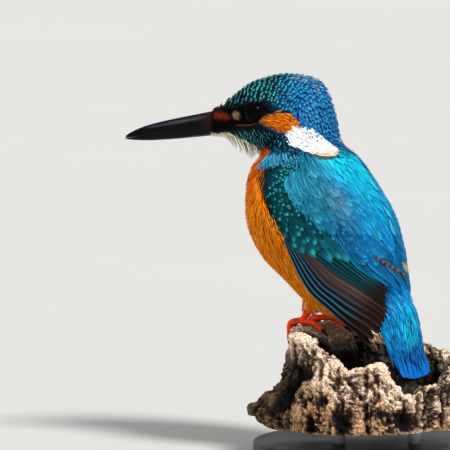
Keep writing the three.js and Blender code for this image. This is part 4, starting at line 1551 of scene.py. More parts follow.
@dataclass(frozen=True)
class CovertRows:
    """Rows of rounded wing coverts, each feather with a light spot at its tip.

    A row's tips lie a distance before the coverts' end, in stations, and its feathers
    stand side by side from the scapulars down to the wing's edge. A row that is further
    forward lies over the one behind it.
    """

    end: Curve = (
        ((20, 12.0), (36, 11.85), (48, 11.7), (56, 11.42), (62, 11.1), (70, 10.8), (79, 10.42))
        + ((86, 10.12), (92, 9.88), (99, 9.65))
    )
    rows: tuple[Triple, ...] = (  # distance, length, width
        ((0.0, 11.0, 4.6), (0.28, 8.4, 4.1), (0.55, 7.2, 3.7), (0.8, 6.4, 3.4), (1.04, 5.8, 3.1))
        + ((1.26, 5.4, 2.9), (1.47, 5.0, 2.7), (1.67, 4.7, 2.6), (1.86, 4.4, 2.5), (2.04, 4.2, 2.4))
        + ((2.21, 4.1, 2.3), (2.38, 4.0, 2.2), (2.55, 4.0, 2.2), (2.72, 4.0, 2.2), (2.89, 4.0, 2.2))
        + ((3.05, 4.0, 2.2), (3.21, 4.0, 2.2), (3.37, 4.0, 2.2), (3.53, 4.0, 2.2), (3.69, 4.0, 2.2))
    )
    overlap: float = 0.66  # spacing over width
    arc: float = 0.39  # millimetres round the body in a degree
    lift: Pair = (0.5, 0.72)

    def build(self, coat: Coat, sign: int, rng: Rng) -> None:
        """Lays the rows of one wing.

        Args:
            coat: Piece that takes them.
            sign: 1 for the left wing, -1 for the right.
            rng: Source of their small differences.
        """
        for number, (before, length, width) in enumerate(self.rows):
            spacing = width * self.overlap / self.arc
            turned = np.arange(23 + spacing * 0.5 * (number % 2), 98.5, spacing)
            turned = turned + rng.uniform(-0.2, 0.2, len(turned)) * spacing
            tip = np.interp(turned, *np.array(self.end).T) - before
            tip = tip + rng.uniform(-0.1, 0.1, len(turned))
            hidden = np.interp(tip - 0.5, *ScapularTract.lower) - 8
            kept = (turned > hidden) & (tip > wing_front(turned) + 0.22)
            turned, tip = turned[kept], tip[kept]
            if not len(turned):
                continue
            angle = turned * sign
            along, around = WING_CHART.slopes(tip, angle)
            run = length / np.linalg.norm(along, axis=-1)
            station = np.maximum(tip - run, wing_front(turned) - 0.05)
            reach = length * (tip - station) / run
            drift = (5 * ease(turned, 20, 60) + rng.normal(0, 2.5, len(turned))) * sign
            lie = along - drift[:, None] * around
            sizes = width * rng.uniform(0.96, 1.26, len(turned))
            inner = 1 - ease(turned, 38, 62)
            over = max(0.0, 1 - number / 5)
            lift = tuple(v + np.maximum(0.95 * inner, w * over) for v, w in zip(self.lift, (0.4, 0.85)))
            made = lay(WING_CHART, station, angle, lie, reach, sizes, lift, COVERT, rng, -0.05)
            tint = mix(MARKINGS.covert, colour("021d23"), 0.8 * ease(turned, 86, 99))
            tint = mix(tint, colour("065a8c"), inner)
            lowest = (number == 0) * (1 - inner) * (1 - ease(turned, 70, 85))
            tint = mix(tint, colour("07586c"), 0.6 * lowest)
            hue = mix(MARKINGS.covert_spot, colour("28a6de"), inner)
            hue = hue * rng.uniform(0.65, 1.15, (len(turned), 1))
            strength = np.clip(rng.normal(0.7, 0.3, len(turned)), 0.05, 1.0)
            strength = strength * (1 - ease(turned, 94, 101)) * (1 - 0.45 * inner)
            strength, washed = (0.8 * strength, 0.28) if number < 3 else (strength, 0.08)
            tint = tint * rng.uniform(0.85, 1.15, (len(turned), 1)) * (1.0 if number < 4 else 0.8)
            wash = (strength * washed)[:, None, None] * ease(made.along, 0.45, 0.95)
            tint = mix(tint[:, None, None], hue[:, None, None], wash)
            coat.add(made, tint, np.concatenate([hue, strength[:, None]], -1), 80 + number)


@dataclass(frozen=True)
class Fan:
    """Flight feathers side by side, each lying over the one on its belly side.

    Roots and tips are curves of (station, angle) along the fan. A vane's place at the
    share s of its length is the root plus s times the way to the tip, and its angle
    bows towards the belly by bow (1 - place) sin(pi s)^1.3.
    """

    roots: Curve
    tips: Curve
    vanes: int
    bow: float = 0.0
    spread: float = 2.1  # strips that one vane covers
    lift: float = 0.9
    tile: float = 0.5
    rounded: float = 0.05
    rows: int = 22
    thickness: float = 0.14
    shaft: float = -0.69  # where the shaft lies across a vane
    across: tuple[float, ...] = (-1.0, -0.86, -0.74, -0.69, -0.64, -0.5, -0.2, 0.2, 0.6, 1.0)

    def place(self, across: Array, along: Array) -> tuple[Array, Array]:
        """Where a place of the fan lies.

        Args:
            across: Places across it, from 0 to 1.
            along: Shares of the way to the tips.

        Returns:
            Stations and angles.
        """

        def through(knots: Curve) -> Array:
            """The curve through the knots, straight on past its last."""
            knots = np.array(knots)
            last = len(knots) - 1
            inside = spline(knots, np.clip(across, 0, 1) * last)
            return inside + np.maximum(across - 1, 0)[..., None] * last * (knots[-1] - knots[-2])

        root, tip = through(self.roots), through(self.tips)
        made = root + (tip - root) * along[..., None]
        bow = self.bow * (1 - np.clip(across, 0, 1)) * np.sin(np.pi * np.clip(along, 0, 1)) ** 1.3
        return made[..., 0], made[..., 1] + bow

    def build(self, sign: int, rng: Rng) -> Vanes:
        """Lays the fan on one side of the bird.

        Args:
            sign: 1 for the left wing, -1 for the right, which lies tighter to the body.
            rng: Source of small differences between the vanes.

        Returns:
            The vanes.
        """
        wide = np.array(self.across)[None, None, :] * np.ones((self.vanes, self.rows, 1))
        share = np.linspace(0, 1, self.rows)[None, :, None] ** 0.9
        number = np.arange(self.vanes)[:, None, None]
        tight = float(sign < 0)
        trim = rng.uniform(-0.012, 0.004, (self.vanes, 1, 1)) - 0.06 * tight
        covered = (wide + 1) / 2 * self.spread * (0.55 + 0.45 * ease(1 - share, 0.0, 0.3))
        rounding = self.rounded * np.abs(wide + 0.35) ** 2.2 * ease(share, 0.45, 1)
        ragged = 0.004 * np.sin(wide * 23 + number * 5) * ease(share, 0.6, 1)
        u, a = self.place((number + covered) / self.vanes, share * (1 + trim) - rounding + ragged)
        a = a + 16 * tight * ease(u, 11.6, 13.6)
        falls = ease(share, 0.75, 1.0)
        climb = self.lift + self.tile * (1 - covered / self.spread) * (1 - 0.35 * falls)
        climb = climb - 0.25 * falls + 0.1 * bell(wide - self.shaft, 0.05)
        climb = climb - 1.6 * tight * ease(u, 11.5, 13.3)
        if sign < 0:
            u, a, climb = u[..., ::-1], -a[..., ::-1], climb[..., ::-1]
        tip = WING_CHART.point(u[:, -1], a[:, -1]) - WING_CHART.point(u[:, 0], a[:, 0])
        length = np.linalg.norm(tip[:, tip.shape[1] // 2], axis=-1)
        signs = np.full(self.vanes, float(sign))
        return wrap(WING_CHART, u, a, climb, self.thickness, u[:, 0, 0], a[:, 0, 0], length, signs)

    def tint(self, sign: int, outer: Array, inner: Array, shaft: Array, end: Array, rng: Rng) -> Array:
        """Colours over each vane.

        Args:
            sign: Side of the bird.
            outer: Colour of the exposed web, one for each vane.
            inner: Colour of the covered web, one or one for each vane.
            shaft: Colour of the shaft.
            end: Colour of the tip.
            rng: Source of small differences.

        Returns:
            Colours as (vane, row, place round, rgb): outer before the shaft, inner behind
            it, and the tip's colour over the last quarter.
        """
        wide = np.array(self.across)[::sign][round_trip(len(self.across))][None, None, :]
        share = np.linspace(0, 1, self.rows)[None, :, None]
        full = np.ones((self.vanes, self.rows, wide.shape[-1]))
        outer = outer[:, None, None, :]
        inner = np.broadcast_to(inner, (self.vanes, 3))[:, None, None, :]
        made = mix(outer, inner, ease(wide, -0.76, -0.6) * full)
        made = mix(made, outer * 1.8, 0.5 * bell(wide + 1.0, 0.12) * (1 - ease(share, 0.4, 0.78)) * full)
        made = mix(made, end, 0.94 * ease(share, 0.55, 0.88) * full)
        made = mix(made, shaft, 0.8 * bell(wide - self.shaft, 0.035) * full)
        return made * rng.uniform(0.85, 1.15, (self.vanes, 1, 1, 1))


@dataclass
class Wing:
    """One folded wing: coverts in rows over tiled secondaries, tertials and primaries."""

    side: str
    sign: int
    flight: Material
    spotted: Material
    primaries: Fan = Fan(
        ((9.35, 96.0), (9.95, 84.5)), ((14.1, 89), (13.9, 66), (13.6, 50), (13.3, 40.5)), 8,
        bow=19, lift=0.65,
    )
    secondaries: Fan = Fan(((9.8, 86.5), (10.75, 48.0)), ((13.25, 45.0), (12.85, 30.0)), 8)
    tertials: Fan = Fan(
        ((10.3, 54.0), (10.5, 20.0)), ((12.6, 29.0), (12.95, 14.0), (12.9, -5.0)), 3,
        bow=7, lift=0.95, spread=1.6, rounded=0.12, rows=16,
    )
    coverts: CovertRows = CovertRows()

    def build(self) -> None:
        """Makes the wing's three pieces, each standing for its CAD node."""
        rng = np.random.default_rng(70 + self.sign)
        name, end = f"wing_{self.side}", colour("1c110b")
        coat = Coat(f"{name}_primary_vanes", "plumage_flight", self.flight, (0.12, 0.004))
        number = np.arange(self.primaries.vanes)
        outer = mix(colour("056686"), colour("04363e"), ease(number, 2, 6))
        inner = mix(colour("0a090b"), colour("64443a"), 0.85 * ease(number, 2.5, 5))
        self.add_fan(coat, self.primaries, 71, rng, outer, inner, colour("74482e"), end)
        coat.build(f"{name}_primaries", crease=True)

        coat = Coat(f"{name}_secondary_vanes", "plumage_wing", self.flight, (0.12, 0.004))
        outer = mix(colour("054a4e"), colour("065866"), np.linspace(0, 1, self.secondaries.vanes))
        self.add_fan(coat, self.secondaries, 72, rng, outer, colour("042c30"), colour("2a2420"), end)
        outer = mix(colour("0a6890"), colour("0a7cb4"), np.linspace(0, 1, self.tertials.vanes))
        inner, shaft, end = colour("06527c"), colour("08324c"), colour("08608c")
        self.add_fan(coat, self.tertials, 73, rng, outer, inner, shaft, end)
        if self.sign > 0:
            coat.add(*self.barred_edge())
        coat.build(f"{name}_secondaries", crease=True)

        coat = Coat(f"{name}_covert_vanes", "plumage_wing", self.spotted, (0.005, 0.005))
        self.coverts.build(coat, self.sign, rng)
        coat.build(f"{name}_coverts", crease=True)

    def add_fan(self, coat: Coat, fan: Fan, seed: int, rng: Rng, *hues: Array) -> None:
        """Lays a fan into a piece in the colours of its outer and inner webs, shaft and end."""
        tint = fan.tint(self.sign, *hues, rng)
        coat.add(fan.build(self.sign, rng), tint, seed=seed)

    def barred_edge(self) -> tuple[Vanes, Array]:
        """The brown inner edge of the left wing's innermost tertial, barred lighter.

        Returns:
            Two vanes along a curve of (station, angle), and their colours: brown, with
            lighter bars where sin(41 s + 5 across) is high.
        """
        middle = np.array([(11.25, 27.0), (11.62, 19.0), (12.0, 8.0), (12.42, -8.0)])
        share = np.linspace(0, 1, 30)
        line = spline(middle, share * (len(middle) - 1))
        wide = np.linspace(-1, 1, 7)
        half = 0.12 * np.sin(np.pi * (0.1 + 0.86 * share))[None, :, None] ** 0.6
        number = np.arange(2)[:, None, None]
        u = line[None, :, None, 0] + half * wide + 0.09 * number
        a = line[None, :, None, 1] + 3.0 * wide * half - 1.5 * number
        climb = 1.72 - 0.2 * number - 0.25 * share[None, :, None] + 0.1 * (1 - wide**2) * np.ones_like(u)
        u, a, climb = u[..., ::-1], a[..., ::-1], climb[..., ::-1]
        root, full = (u[:, 0, 3], a[:, 0, 3]), np.ones(2)
        made = wrap(WING_CHART, u, a, climb, 0.12, *root, 14.0 * full, -full)
        bars = ease(np.sin(41 * made.along + 5 * made.across), 0.0, 1.0)
        tint = mix(colour("2c211b"), colour("806448"), 0.7 * bars)
        return made, mix(tint, colour("0a6aa0"), 0.7 * ease(-made.across, -0.35, -0.1))


class TailChart(Chart):
    """The tail's fan: a station from 0 at its root to 1, and a place from -1 to 1 across.

    The point is the root, plus the station along the tail's line, plus the place times
    the half width to the left, less the roof's fall: roof s place^2.
    """

    steps = (0.002, 0.002)
    root = TRUNK.point(-36.6, 58.0)
    tip = TRUNK.point(-46.6, 29.2)
    root_half, tip_half, roof = 5.6, 9.9, 1.6

    def point(self, station: Array, angle: Array) -> Array:
        """Points of the fan's middle surface."""
        station, across = np.broadcast_arrays(station, angle)
        dorsal = unit(np.cross(unit(self.tip - self.root), TRUNK.left))
        half = self.root_half + (self.tip_half - self.root_half) * np.clip(station, 0.0, None) ** 0.6
        wide = (across * half)[..., None] * TRUNK.left
        fall = (self.roof * station * across**2)[..., None] * dorsal
        return self.root + station[..., None] * (self.tip - self.root) + wide - fall


@dataclass
class Tail:
    """Twelve tail feathers, the middle pair on top."""

    pairs: int = 6
    rows: int = 20
    step: float = 0.2
    half: float = 0.2  # half of one vane's width, in places across the fan
    columns: tuple[float, ...] = (-1.0, -0.8, -0.45, -0.15, -0.06, 0.0, 0.06, 0.15, 0.45, 0.8, 1.0)

    def build(self) -> None:
        """Makes the tail's piece."""
        rng = np.random.default_rng(90)
        finish = PlumageFinish("tail_vanes", 0.5, 0.4, 9.0, barb=0.15, specular=0.08).build()
        coat = Coat("tail_vanes", "plumage_tail", finish, (0.3, 0.03))
        count = 2 * self.pairs
        number = np.arange(-self.pairs, self.pairs)[:, None, None]
        away = np.sign(number + 0.5)
        middle = (number + 0.5) / self.pairs * (1 - self.half * 0.75)
        rank = self.pairs - np.floor(np.abs(number + 0.5))
        columns = np.array(self.columns)
        share = np.linspace(0, 1, self.rows)[None, :, None] ** 0.9
        wide = columns * np.ones((count, self.rows, 1))
        across = middle + wide * self.half * (0.75 + 0.25 * ease(share, 0, 0.4))
        rounding = 0.075 * np.abs(wide) ** 2.6 * ease(share, 0.5, 1)
        short = 1 - 0.055 * middle**2 + rng.uniform(-0.008, 0.004, (count, 1, 1))
        station = share * short - rounding + 0.004 * np.sin(19 * wide + number * 3)
        climb = 0.25 + self.step * rank - 0.16 * wide * away
        climb = climb + 0.12 * (1 - wide**2) + 0.12 * bell(wide, 0.07)
        root, length = np.full(count, 4.0), np.full(count, 30.0)
        turned = middle[:, 0, 0] * 170
        made = wrap(TailChart(), station, across, climb, 0.14, root, turned, length, np.ones(count))
        full = np.ones(made.points.shape[:3])
        spread = columns[round_trip(len(columns))] * full
        tint = mix(colour("0466be"), colour("0478cc"), (0.5 + 0.5 * np.sin(number * 2.3)) * full)
        tint = mix(tint, colour("0658ac"), 0.5 * ease(-spread * away, 0.2, 0.8))
        tint = mix(tint, colour("06386c"), 0.7 * bell(spread, 0.07))
        tint = mix(tint, colour("0a5cae"), 0.45 * ease(made.along, 0.75, 1.0))
        below = np.arange(full.shape[-1]) >= len(columns)
        coat.add(made, mix(tint, colour("1d2126"), 0.9 * below * full), seed=91)
        coat.build("tail", crease=True)


# ---- Body, eyes and bill ------------------------------------------------------------


@dataclass
class Skin:
    """The one skin under the coat, from the bill's base to the tail's root."""

    rows: int = 260
    sides: int = 144
    head_depth: float = 0.85
    body_depth: float = 1.5
    bill_rise: float = 0.45  # how much less deep it lies at the bill's base
    tail_rise: float = 0.7

    def build(self) -> None:
        """Makes the skin: the body's loft, sunk by the coat's depth."""
        angle = np.arange(self.sides) * 360 / self.sides
        angle = np.where(angle > 180, angle - 360, angle)[::-1]
        u, a = np.meshgrid(np.linspace(0.0, LAST_STATION, self.rows), angle, indexing="ij")
        depth = self.head_depth + (self.body_depth - self.head_depth) * ease(u, 5.0, 7.0)
        depth = depth - self.bill_rise * ease(0.6 - u, 0, 0.6) - self.tail_rise * ease(u, 13.5, 15)
        base = BODY_CHART.point(u, a)
        normal = BODY_CHART.normal(np.clip(u, 0.02, LAST_STATION - 0.02), a)
        skin = closed_tube(base - normal * depth[..., None])
        tint = MARKINGS.at(Places(u, a, base)).reshape(-1, 3)
        tint = np.concatenate([tint, [MARKINGS.black, MARKINGS.rump]])
        slots = "head", "neck", "trunk", "rump"
        made = make_piece("bird_skin", skin, tint, Surface.SKIN.material(), "plumage_breast", *slots)
        place = np.concatenate([on_map(u, a).reshape(-1, 2), [[0.02, 0.5], [0.98, 0.5]]])
        uv = place[np.concatenate([f.ravel() for f in skin[1]])]
        quads = uv[: (self.rows - 1) * self.sides * 4].reshape(-1, 4, 2)
        seam = (np.ptp(quads[..., 1], axis=1) > 0.5)[:, None] & (quads[..., 1] < 0.5)
        quads[..., 1] += 0.94 * seam
        add_bake_map(made, np.clip(uv, 0, 1))


@dataclass
class Eye:
    """One eye: its ball in the head, the lids round it and the gape's line below."""

    side: str
    sign: int
    radius: float = 4.3
    sideways: float = 8.45
    lid_radius: float = 3.05
    lid_thickness: float = 0.3
    socket: Pair = (3.1, 88.0)  # station and angle whose normal it looks along
    pupil: Pair = (0.30, 0.36)  # where its edge begins and ends, from the ball's pole

    def build(self) -> None:
        """Makes the ball, the lids and the gape."""
        middle = HEAD.point(*EYE_PLACE, self.sign * self.sideways)
        outward = BODY_CHART.normal(*np.multiply(self.socket, (1, self.sign)))
        back = unit(-HEAD.forward + dot(HEAD.forward, outward) * outward)
        up = np.cross(outward, back) * self.sign
        lids = Surface.LID.material()

        def spokes(count: int) -> Array:
            """Even directions round the ball's outward axis."""
            turn = circle(count)[:, None] * self.sign
            return np.cos(turn) * back + np.sin(turn) * up

        polar = np.linspace(0.02, np.pi - 0.02, 40)[:, None, None]
        rings = np.cos(polar) * outward + np.sin(polar) * spokes(64)
        rings = middle + self.radius * (1 + 0.02 * bell(polar, 0.5)) * rings
        iris = np.concatenate([ease(np.repeat(polar, 64), *self.pupil), [0, 1]])
        tint = mix(colour("000000"), colour("030201"), iris)
        wet, side = Surface.EYE.material(), self.side
        make_piece(f"eyeball_{side}", closed_tube(rings), tint, wet, "eye", f"eye_{side}")

        turn, tube = circle(72) * self.sign, circle(16)[:, None]
        major = self.lid_radius * (1 + 0.1 * np.abs(np.cos(turn)) ** 3 - 0.07 * np.abs(np.sin(turn)))
        rise = np.sqrt(self.radius**2 - self.lid_radius**2)
        radial = spokes(72)[:, None]
        fat = self.lid_thickness * (1 + 0.12 * np.sin(9 * turn) ** 2)[:, None, None]
        rings = middle + rise * outward + major[:, None, None] * radial
        rings = rings + fat * (np.cos(tube) * radial + np.sin(tube) * outward * 0.8)
        faces = grid_faces(len(turn) + 1, len(tube)) % (len(turn) * len(tube))
        skin = rings, [faces[:, ::-1]]
        make_piece(f"eyelids_{side}", skin, colour("050404"), lids, "plumage_crown")

        share = np.linspace(0, 1, 30)
        station, angle = 2.0 + 1.25 * share, (113 - 10 * share**1.5) * self.sign
        path = BODY_CHART.point(station, angle) - 0.25 * BODY_CHART.normal(station, angle)
        radius = 0.32 * np.sin(np.pi * (0.12 + 0.8 * share)) ** 0.7
        tube = closed_tube(sweep(path, radius, UP, 12, 0.8))
        make_piece(f"gape_{side}", tube, colour("6a3018"), lids, "foot_skin")


@dataclass
class Bill:
    """The two halves of the bill, meeting along a fine line, with nostrils above."""

    base: Triple = (-31.6, 18.1, 120.2)
    tip: Triple = (-66.1, 21.7, 114.8)
    root: float = 6.0
    upper: tuple[float, ...] = (5.0, 1.7, 5.5, 0.75)  # height, its loss to the tip, two powers
    lower: tuple[float, ...] = (3.6, 1.5, 4, 0.8)
    half_width: float = 4.2
    tip_half_width: float = 0.3
    gap: float = 0.07
    rows: int = 130
    sides: int = 48

    def half(self, upper: bool) -> Array:
        """Rings of one half.

        Args:
            upper: Whether it is the upper half.

        Returns:
            Rings: an arch of width w cos a and height h sin(a)^0.9 over the line where
            the halves meet, closed by a flat, with a ridge on the culmen, a groove along
            each side and a nostril slit near the base. The height h at the share s is
            (height - loss s) (1 - s^p)^q, of the half's two powers p and q.
        """
        base, way = np.array(self.base), np.subtract(self.tip, self.base)
        share = np.linspace(-self.root / np.linalg.norm(way), 1.0, self.rows)
        share = (share * (1.0 if upper else 0.985))[:, None]
        run = np.maximum(share, 0)
        up = unit(np.cross(way, HEAD.left))
        half = self.tip_half_width + (self.half_width - self.tip_half_width) * (1 - share) ** 0.85
        height, loss, blunt, round_off = self.upper if upper else self.lower
        tall = (height - loss * share) * np.maximum(1 - run**blunt, 0) ** round_off
        arch = np.linspace(0, np.pi, self.sides)
        rise = self.gap + np.maximum(tall, 0.4) * np.sin(arch) ** 0.9
        ridge = 0.22 * bell(arch - np.pi / 2, 0.2) * (1 if upper else 0.6)
        rise = rise + ridge * np.minimum(1, (1 - run) * 4)
        side = np.minimum(arch, np.pi - arch)
        groove = bell(side - 0.62, 0.13) * (1 - ease(share, 0.25, 0.6))
        width = half * np.cos(arch) * (1 - 0.045 * groove)
        if upper:
            slit = bell(share - 0.07, 0.035) * bell(side - 0.72 - (share - 0.07) * 2, 0.085)
            width = width * (1 - 0.17 * slit)
            rise = rise - 0.3 * slit
        flat = np.linspace(-1, 1, 14)[1:-1]
        width = np.concatenate([width, half * flat * 0.985], axis=1)[..., None]
        rise = np.concatenate([rise, np.full((self.rows, len(flat)), self.gap)], axis=1)[..., None]
        centre = base + share * way
        rings = centre[:, None] + width * HEAD.left + rise * (up if upper else -up)
        return rings if upper else rings[:, ::-1]

    def build(self) -> None:
        """Makes both halves."""
        base, way = np.array(self.base), np.subtract(self.tip, self.base)
        for name, upper in (("upper", True), ("lower", False)):
            skin = closed_tube(self.half(upper))
            from_base = skin[0] - base
            share = from_base @ way / (way @ way)
            rise = (from_base - share[:, None] * way)[:, 2] / (self.upper[0] - self.upper[1] * share)
            # painted highlight: a lighter blue-grey band high along the upper half, where its sheen falls
            wear_and_sheen = bell(rise - 0.74, 0.11) * ease(share, -0.02, 0.12) * (1 - ease(share, 0.5, 0.85))
            tint = mix(colour("040405"), colour("464a54"), 0.6 * wear_and_sheen * upper)
            tint = mix(tint, colour("2c1410"), bell(share - 0.03, 0.09) * (0.55 if upper else 0.3))
            tint = mix(tint, colour("d8cdb4"), 0.9 * ease(share, 0.965, 0.985))
            horn = Surface.BILL.material()
            made = make_piece(f"bill_horn_{name}", skin, tint, horn, "bill_horn", f"bill_{name}")
            made.data.set_sharp_from_angle(angle=0.9)


# ---- The coat -----------------------------------------------------------------------


def lay_coat(name: str, slot: str, finish: Material, *tracts: Tract, patch: Pair | None = None) -> None:
    """Makes one piece of the coat from its tracts.

    Args:
        name: The piece's name.
        slot: Its slot.
        finish: Its material.
        tracts: The fields of feathers in it.
        patch: Size of a vane's bake patch where the vanes are broad, which creases them.
    """
    coat = Coat(name, slot, finish, patch or Coat.patch)
    for tract in tracts:
        tract.grow(coat)
    coat.build(crease=patch is not None)


@dataclass
class Plumage:
    """All of the body's coat, tract by tract."""

    scale: Pair = (0.006, 0.006)  # bake patches of the head's scales
    web: Pair = (0.008, 0.008)  # and of the scapulars' webs

    def build(self) -> None:
        """Makes the coat's pieces."""
        cap = PlumageFinish("cap_vanes", 0.5, 0.25, 3.0, 0.62, 0.66, 0.93).build()
        soft = PlumageFinish("soft_strands", 0.62, 0.25, 2.0, barb=0.12, specular=0.08).build()
        silk = PlumageFinish("silky_strands", 0.45, 0.3, 2.0, barb=0.15, specular=0.14).build()
        pale = PlumageFinish("pale_strands", 0.7, 0.1, 2.0, barb=0.06, specular=0.1).build()
        webs = PlumageFinish("scapular_webs", 0.55, 0.5, 9.0, barb=0.12, specular=0.08).build()
        lay_coat(
            "coat_crown", "plumage_crown", cap,
            CrownTract(
                "crown", 11, (0.35, 4.1), (0, 88), (1.8, 1.0), 3.4, 1.7, (-0.75, 0.12), SCALE,
                lean=0.35, jitter=0.1,
            ),
            patch=self.scale,
        )
        lay_coat(
            "coat_nape", "plumage_crown", cap,
            CrownTract(
                "nape", 12, (4.1, 7.5), (0, 88), (1.65, 1.25), 4.0, 1.8, (-0.8, 0.45), SCALE,
                lean=0.35, jitter=0.22,
            ),
            MalarTract(
                "malar stripe", 13, (1.8, 7.4), (36, 150), (1.3, 1.1), 3.2, 1.5, (-0.7, 0.3), SCALE,
                jitter=0.25, heading=(1.0, 0.42), spread=0.08,
            ),
            patch=self.scale,
        )
        lay_coat(
            "coat_mask", "plumage_crown", soft,
            Tract("collar", 19, (-0.3, 0.35), (0, 180), (0.4, 0.34), 2.0, 0.4, (-1.0, 0.0), jitter=0.6),
            MaskTract("mask", 14, (0.05, 5.2), (40, 128), (0.55, 0.4), 1.5, 0.34, (-0.6, 0.05)),
            EarTract(
                "ear coverts", 15, (2.6, 6.2), (50, 118), (0.7, 0.5), 4.0, 0.72, (-0.6, 0.4), LONG,
                patch=Patch.EAR, heading=(1.0, -0.05), margin=-0.4,
            ),
        )
        lay_coat(
            "coat_neck_patch", "plumage_breast", pale,
            NeckTract(
                "neck patch", 16, (5.2, 7.9), (3, 96), (0.5, 0.42), 2.9, 1.15, (-0.25, 0.5), LONG,
                patch=Patch.NECK_WHITE, heading=(1.0, 0.7), spread=0.04, margin=-0.5,
            ),
        )
        lay_coat(
            "coat_throat", "plumage_breast", pale,
            ThroatTract("throat", 17, (0.1, 5.0), (96, 180), (0.9, 0.6), 3.0, 1.1, (-0.7, 0.15), LONG),
            ThroatTract("tufts", 18, (1.1, 3.1), (150, 180), (1.7, 1.7), 5.8, 3.0, (-0.7, 3.8), SPIKE),
        )
        for name, seed, stations in (("breast", 21, (3.2, 9.0)), ("belly", 22, (9.0, 13.2))):
            tract = BreastTract(name, seed, stations, (84, 180), (1.2, 0.6), 5.2, 0.85, (-1.35, 0.15))
            lay_coat(f"coat_{name}", "plumage_breast", soft, tract)
        lay_coat(
            "coat_flank_fringe", "plumage_breast", soft,
            FringeTract("fringe", 23, (6.9, 9.1), (90, 124), (1.1, 0.6), 4.2, 0.62, (0.2, 2.7), turn=22),
        )
        lay_coat(
            "coat_back", "plumage_back", silk,
            BackTract("back", 31, (6.7, 12.6), (0, 48), (1.3, 0.5), 7.0, 0.7, (-1.1, 0.7), LONG),
        )
        lay_coat(
            "coat_rump", "plumage_back", silk,
            BackTract(
                "rump", 32, (12.2, 13.6), (0, 110), (1.3, 0.6), 6.0, 0.8, (-0.9, 0.35), LONG,
                chart=RUMP_CHART,
            ),
            TailCovertTract(
                "upper tail coverts", 34, (12.8, 15.1), (0, 84), (1.3, 1.0), 12.5, 1.9, (-0.5, 0.35), BLADE,
                chart=RUMP_CHART,
            ),
            DownTract(
                "down", 35, (11.5, 11.85), (0, 24), (0.9, 0.5), 3.6, 0.5, (0.6, 1.7), LONG,
                chart=WING_CHART,
            ),
        )
        lay_coat(
            "coat_vent", "plumage_breast", soft,
            Tract(
                "vent", 33, (12.8, 14.3), (96, 180), (1.3, 0.7), 5.0, 0.9, (-1.0, 0.1), LONG,
                chart=RUMP_CHART,
            ),
        )
        lay_coat(
            "coat_scapular_webs", "plumage_wing", webs,
            ScapularTract(
                "scapular webs", 43, (7.5, 11.0), (12, 78), (3.0, 2.2), 8.5, 4.4, (0.3, 1.15), BROAD,
                jitter=0.2, roll=-0.08, chart=WING_CHART,
            ),
            patch=self.web,
        )
        lay_coat(
            "coat_scapulars", "plumage_wing", silk,
            ScapularTract(
                "scapulars", 41, (6.9, 11.0), (12, 78), (1.1, 0.55), 8.0, 0.6, (0.3, 1.6), LONG,
                chart=WING_CHART,
            ),
            ShoulderTract(
                "shoulder band", 42, (6.1, 7.6), (46, 124), (0.7, 0.55), 3.2, 1.05, (-0.6, 1.35), LONG,
                patch=Patch.SHOULDER, heading=(0.25, 1.0), margin=-0.3,
            ),
        )
        for side, sign in SIDES:
            lay_coat(f"coat_thigh_{side}", "plumage_breast", soft, self.thigh(sign))

    def thigh(self, sign: int) -> Tract:
        """The short feathers round one leg, from the belly to the bare shin.

        Args:
            sign: 1 for the left leg, -1 for the right.

        Returns:
            The tract, on a chart of its own.
        """
        knots = ((-8.6, 59.5, 6.0, 8.0), (-6.2, 56.0, 4.6, 7.6))  # forward, height, radius, left
        knots += ((-4.0, 53.0, 3.3, 7.3), (-2.4, 50.9, 2.2, 7.1))
        chart = Loft(*(rib(TRUNK, f, z, 38, 128, r, r, r, left=sign * w) for f, z, r, w in knots))
        gap, lift = (0.8, 0.5), (-0.6, 0.05)
        return ThighTract("thigh", 51, (0.2, 2.9), (0, 180), gap, 2.8, 0.75, lift, chart=chart)


# ---- Feet ---------------------------------------------------------------------------


@dataclass(frozen=True)
class Toe:
    """One toe: how far its tip stands aside and how far it hangs over the edge."""

    name: str
    splay: float
    drop: float


TOES = (Toe("inner", -1, 4.6), Toe("middle", 0, 6.3), Toe("outer", 0.85, 5.2), Toe("hind", 0.1, 0))


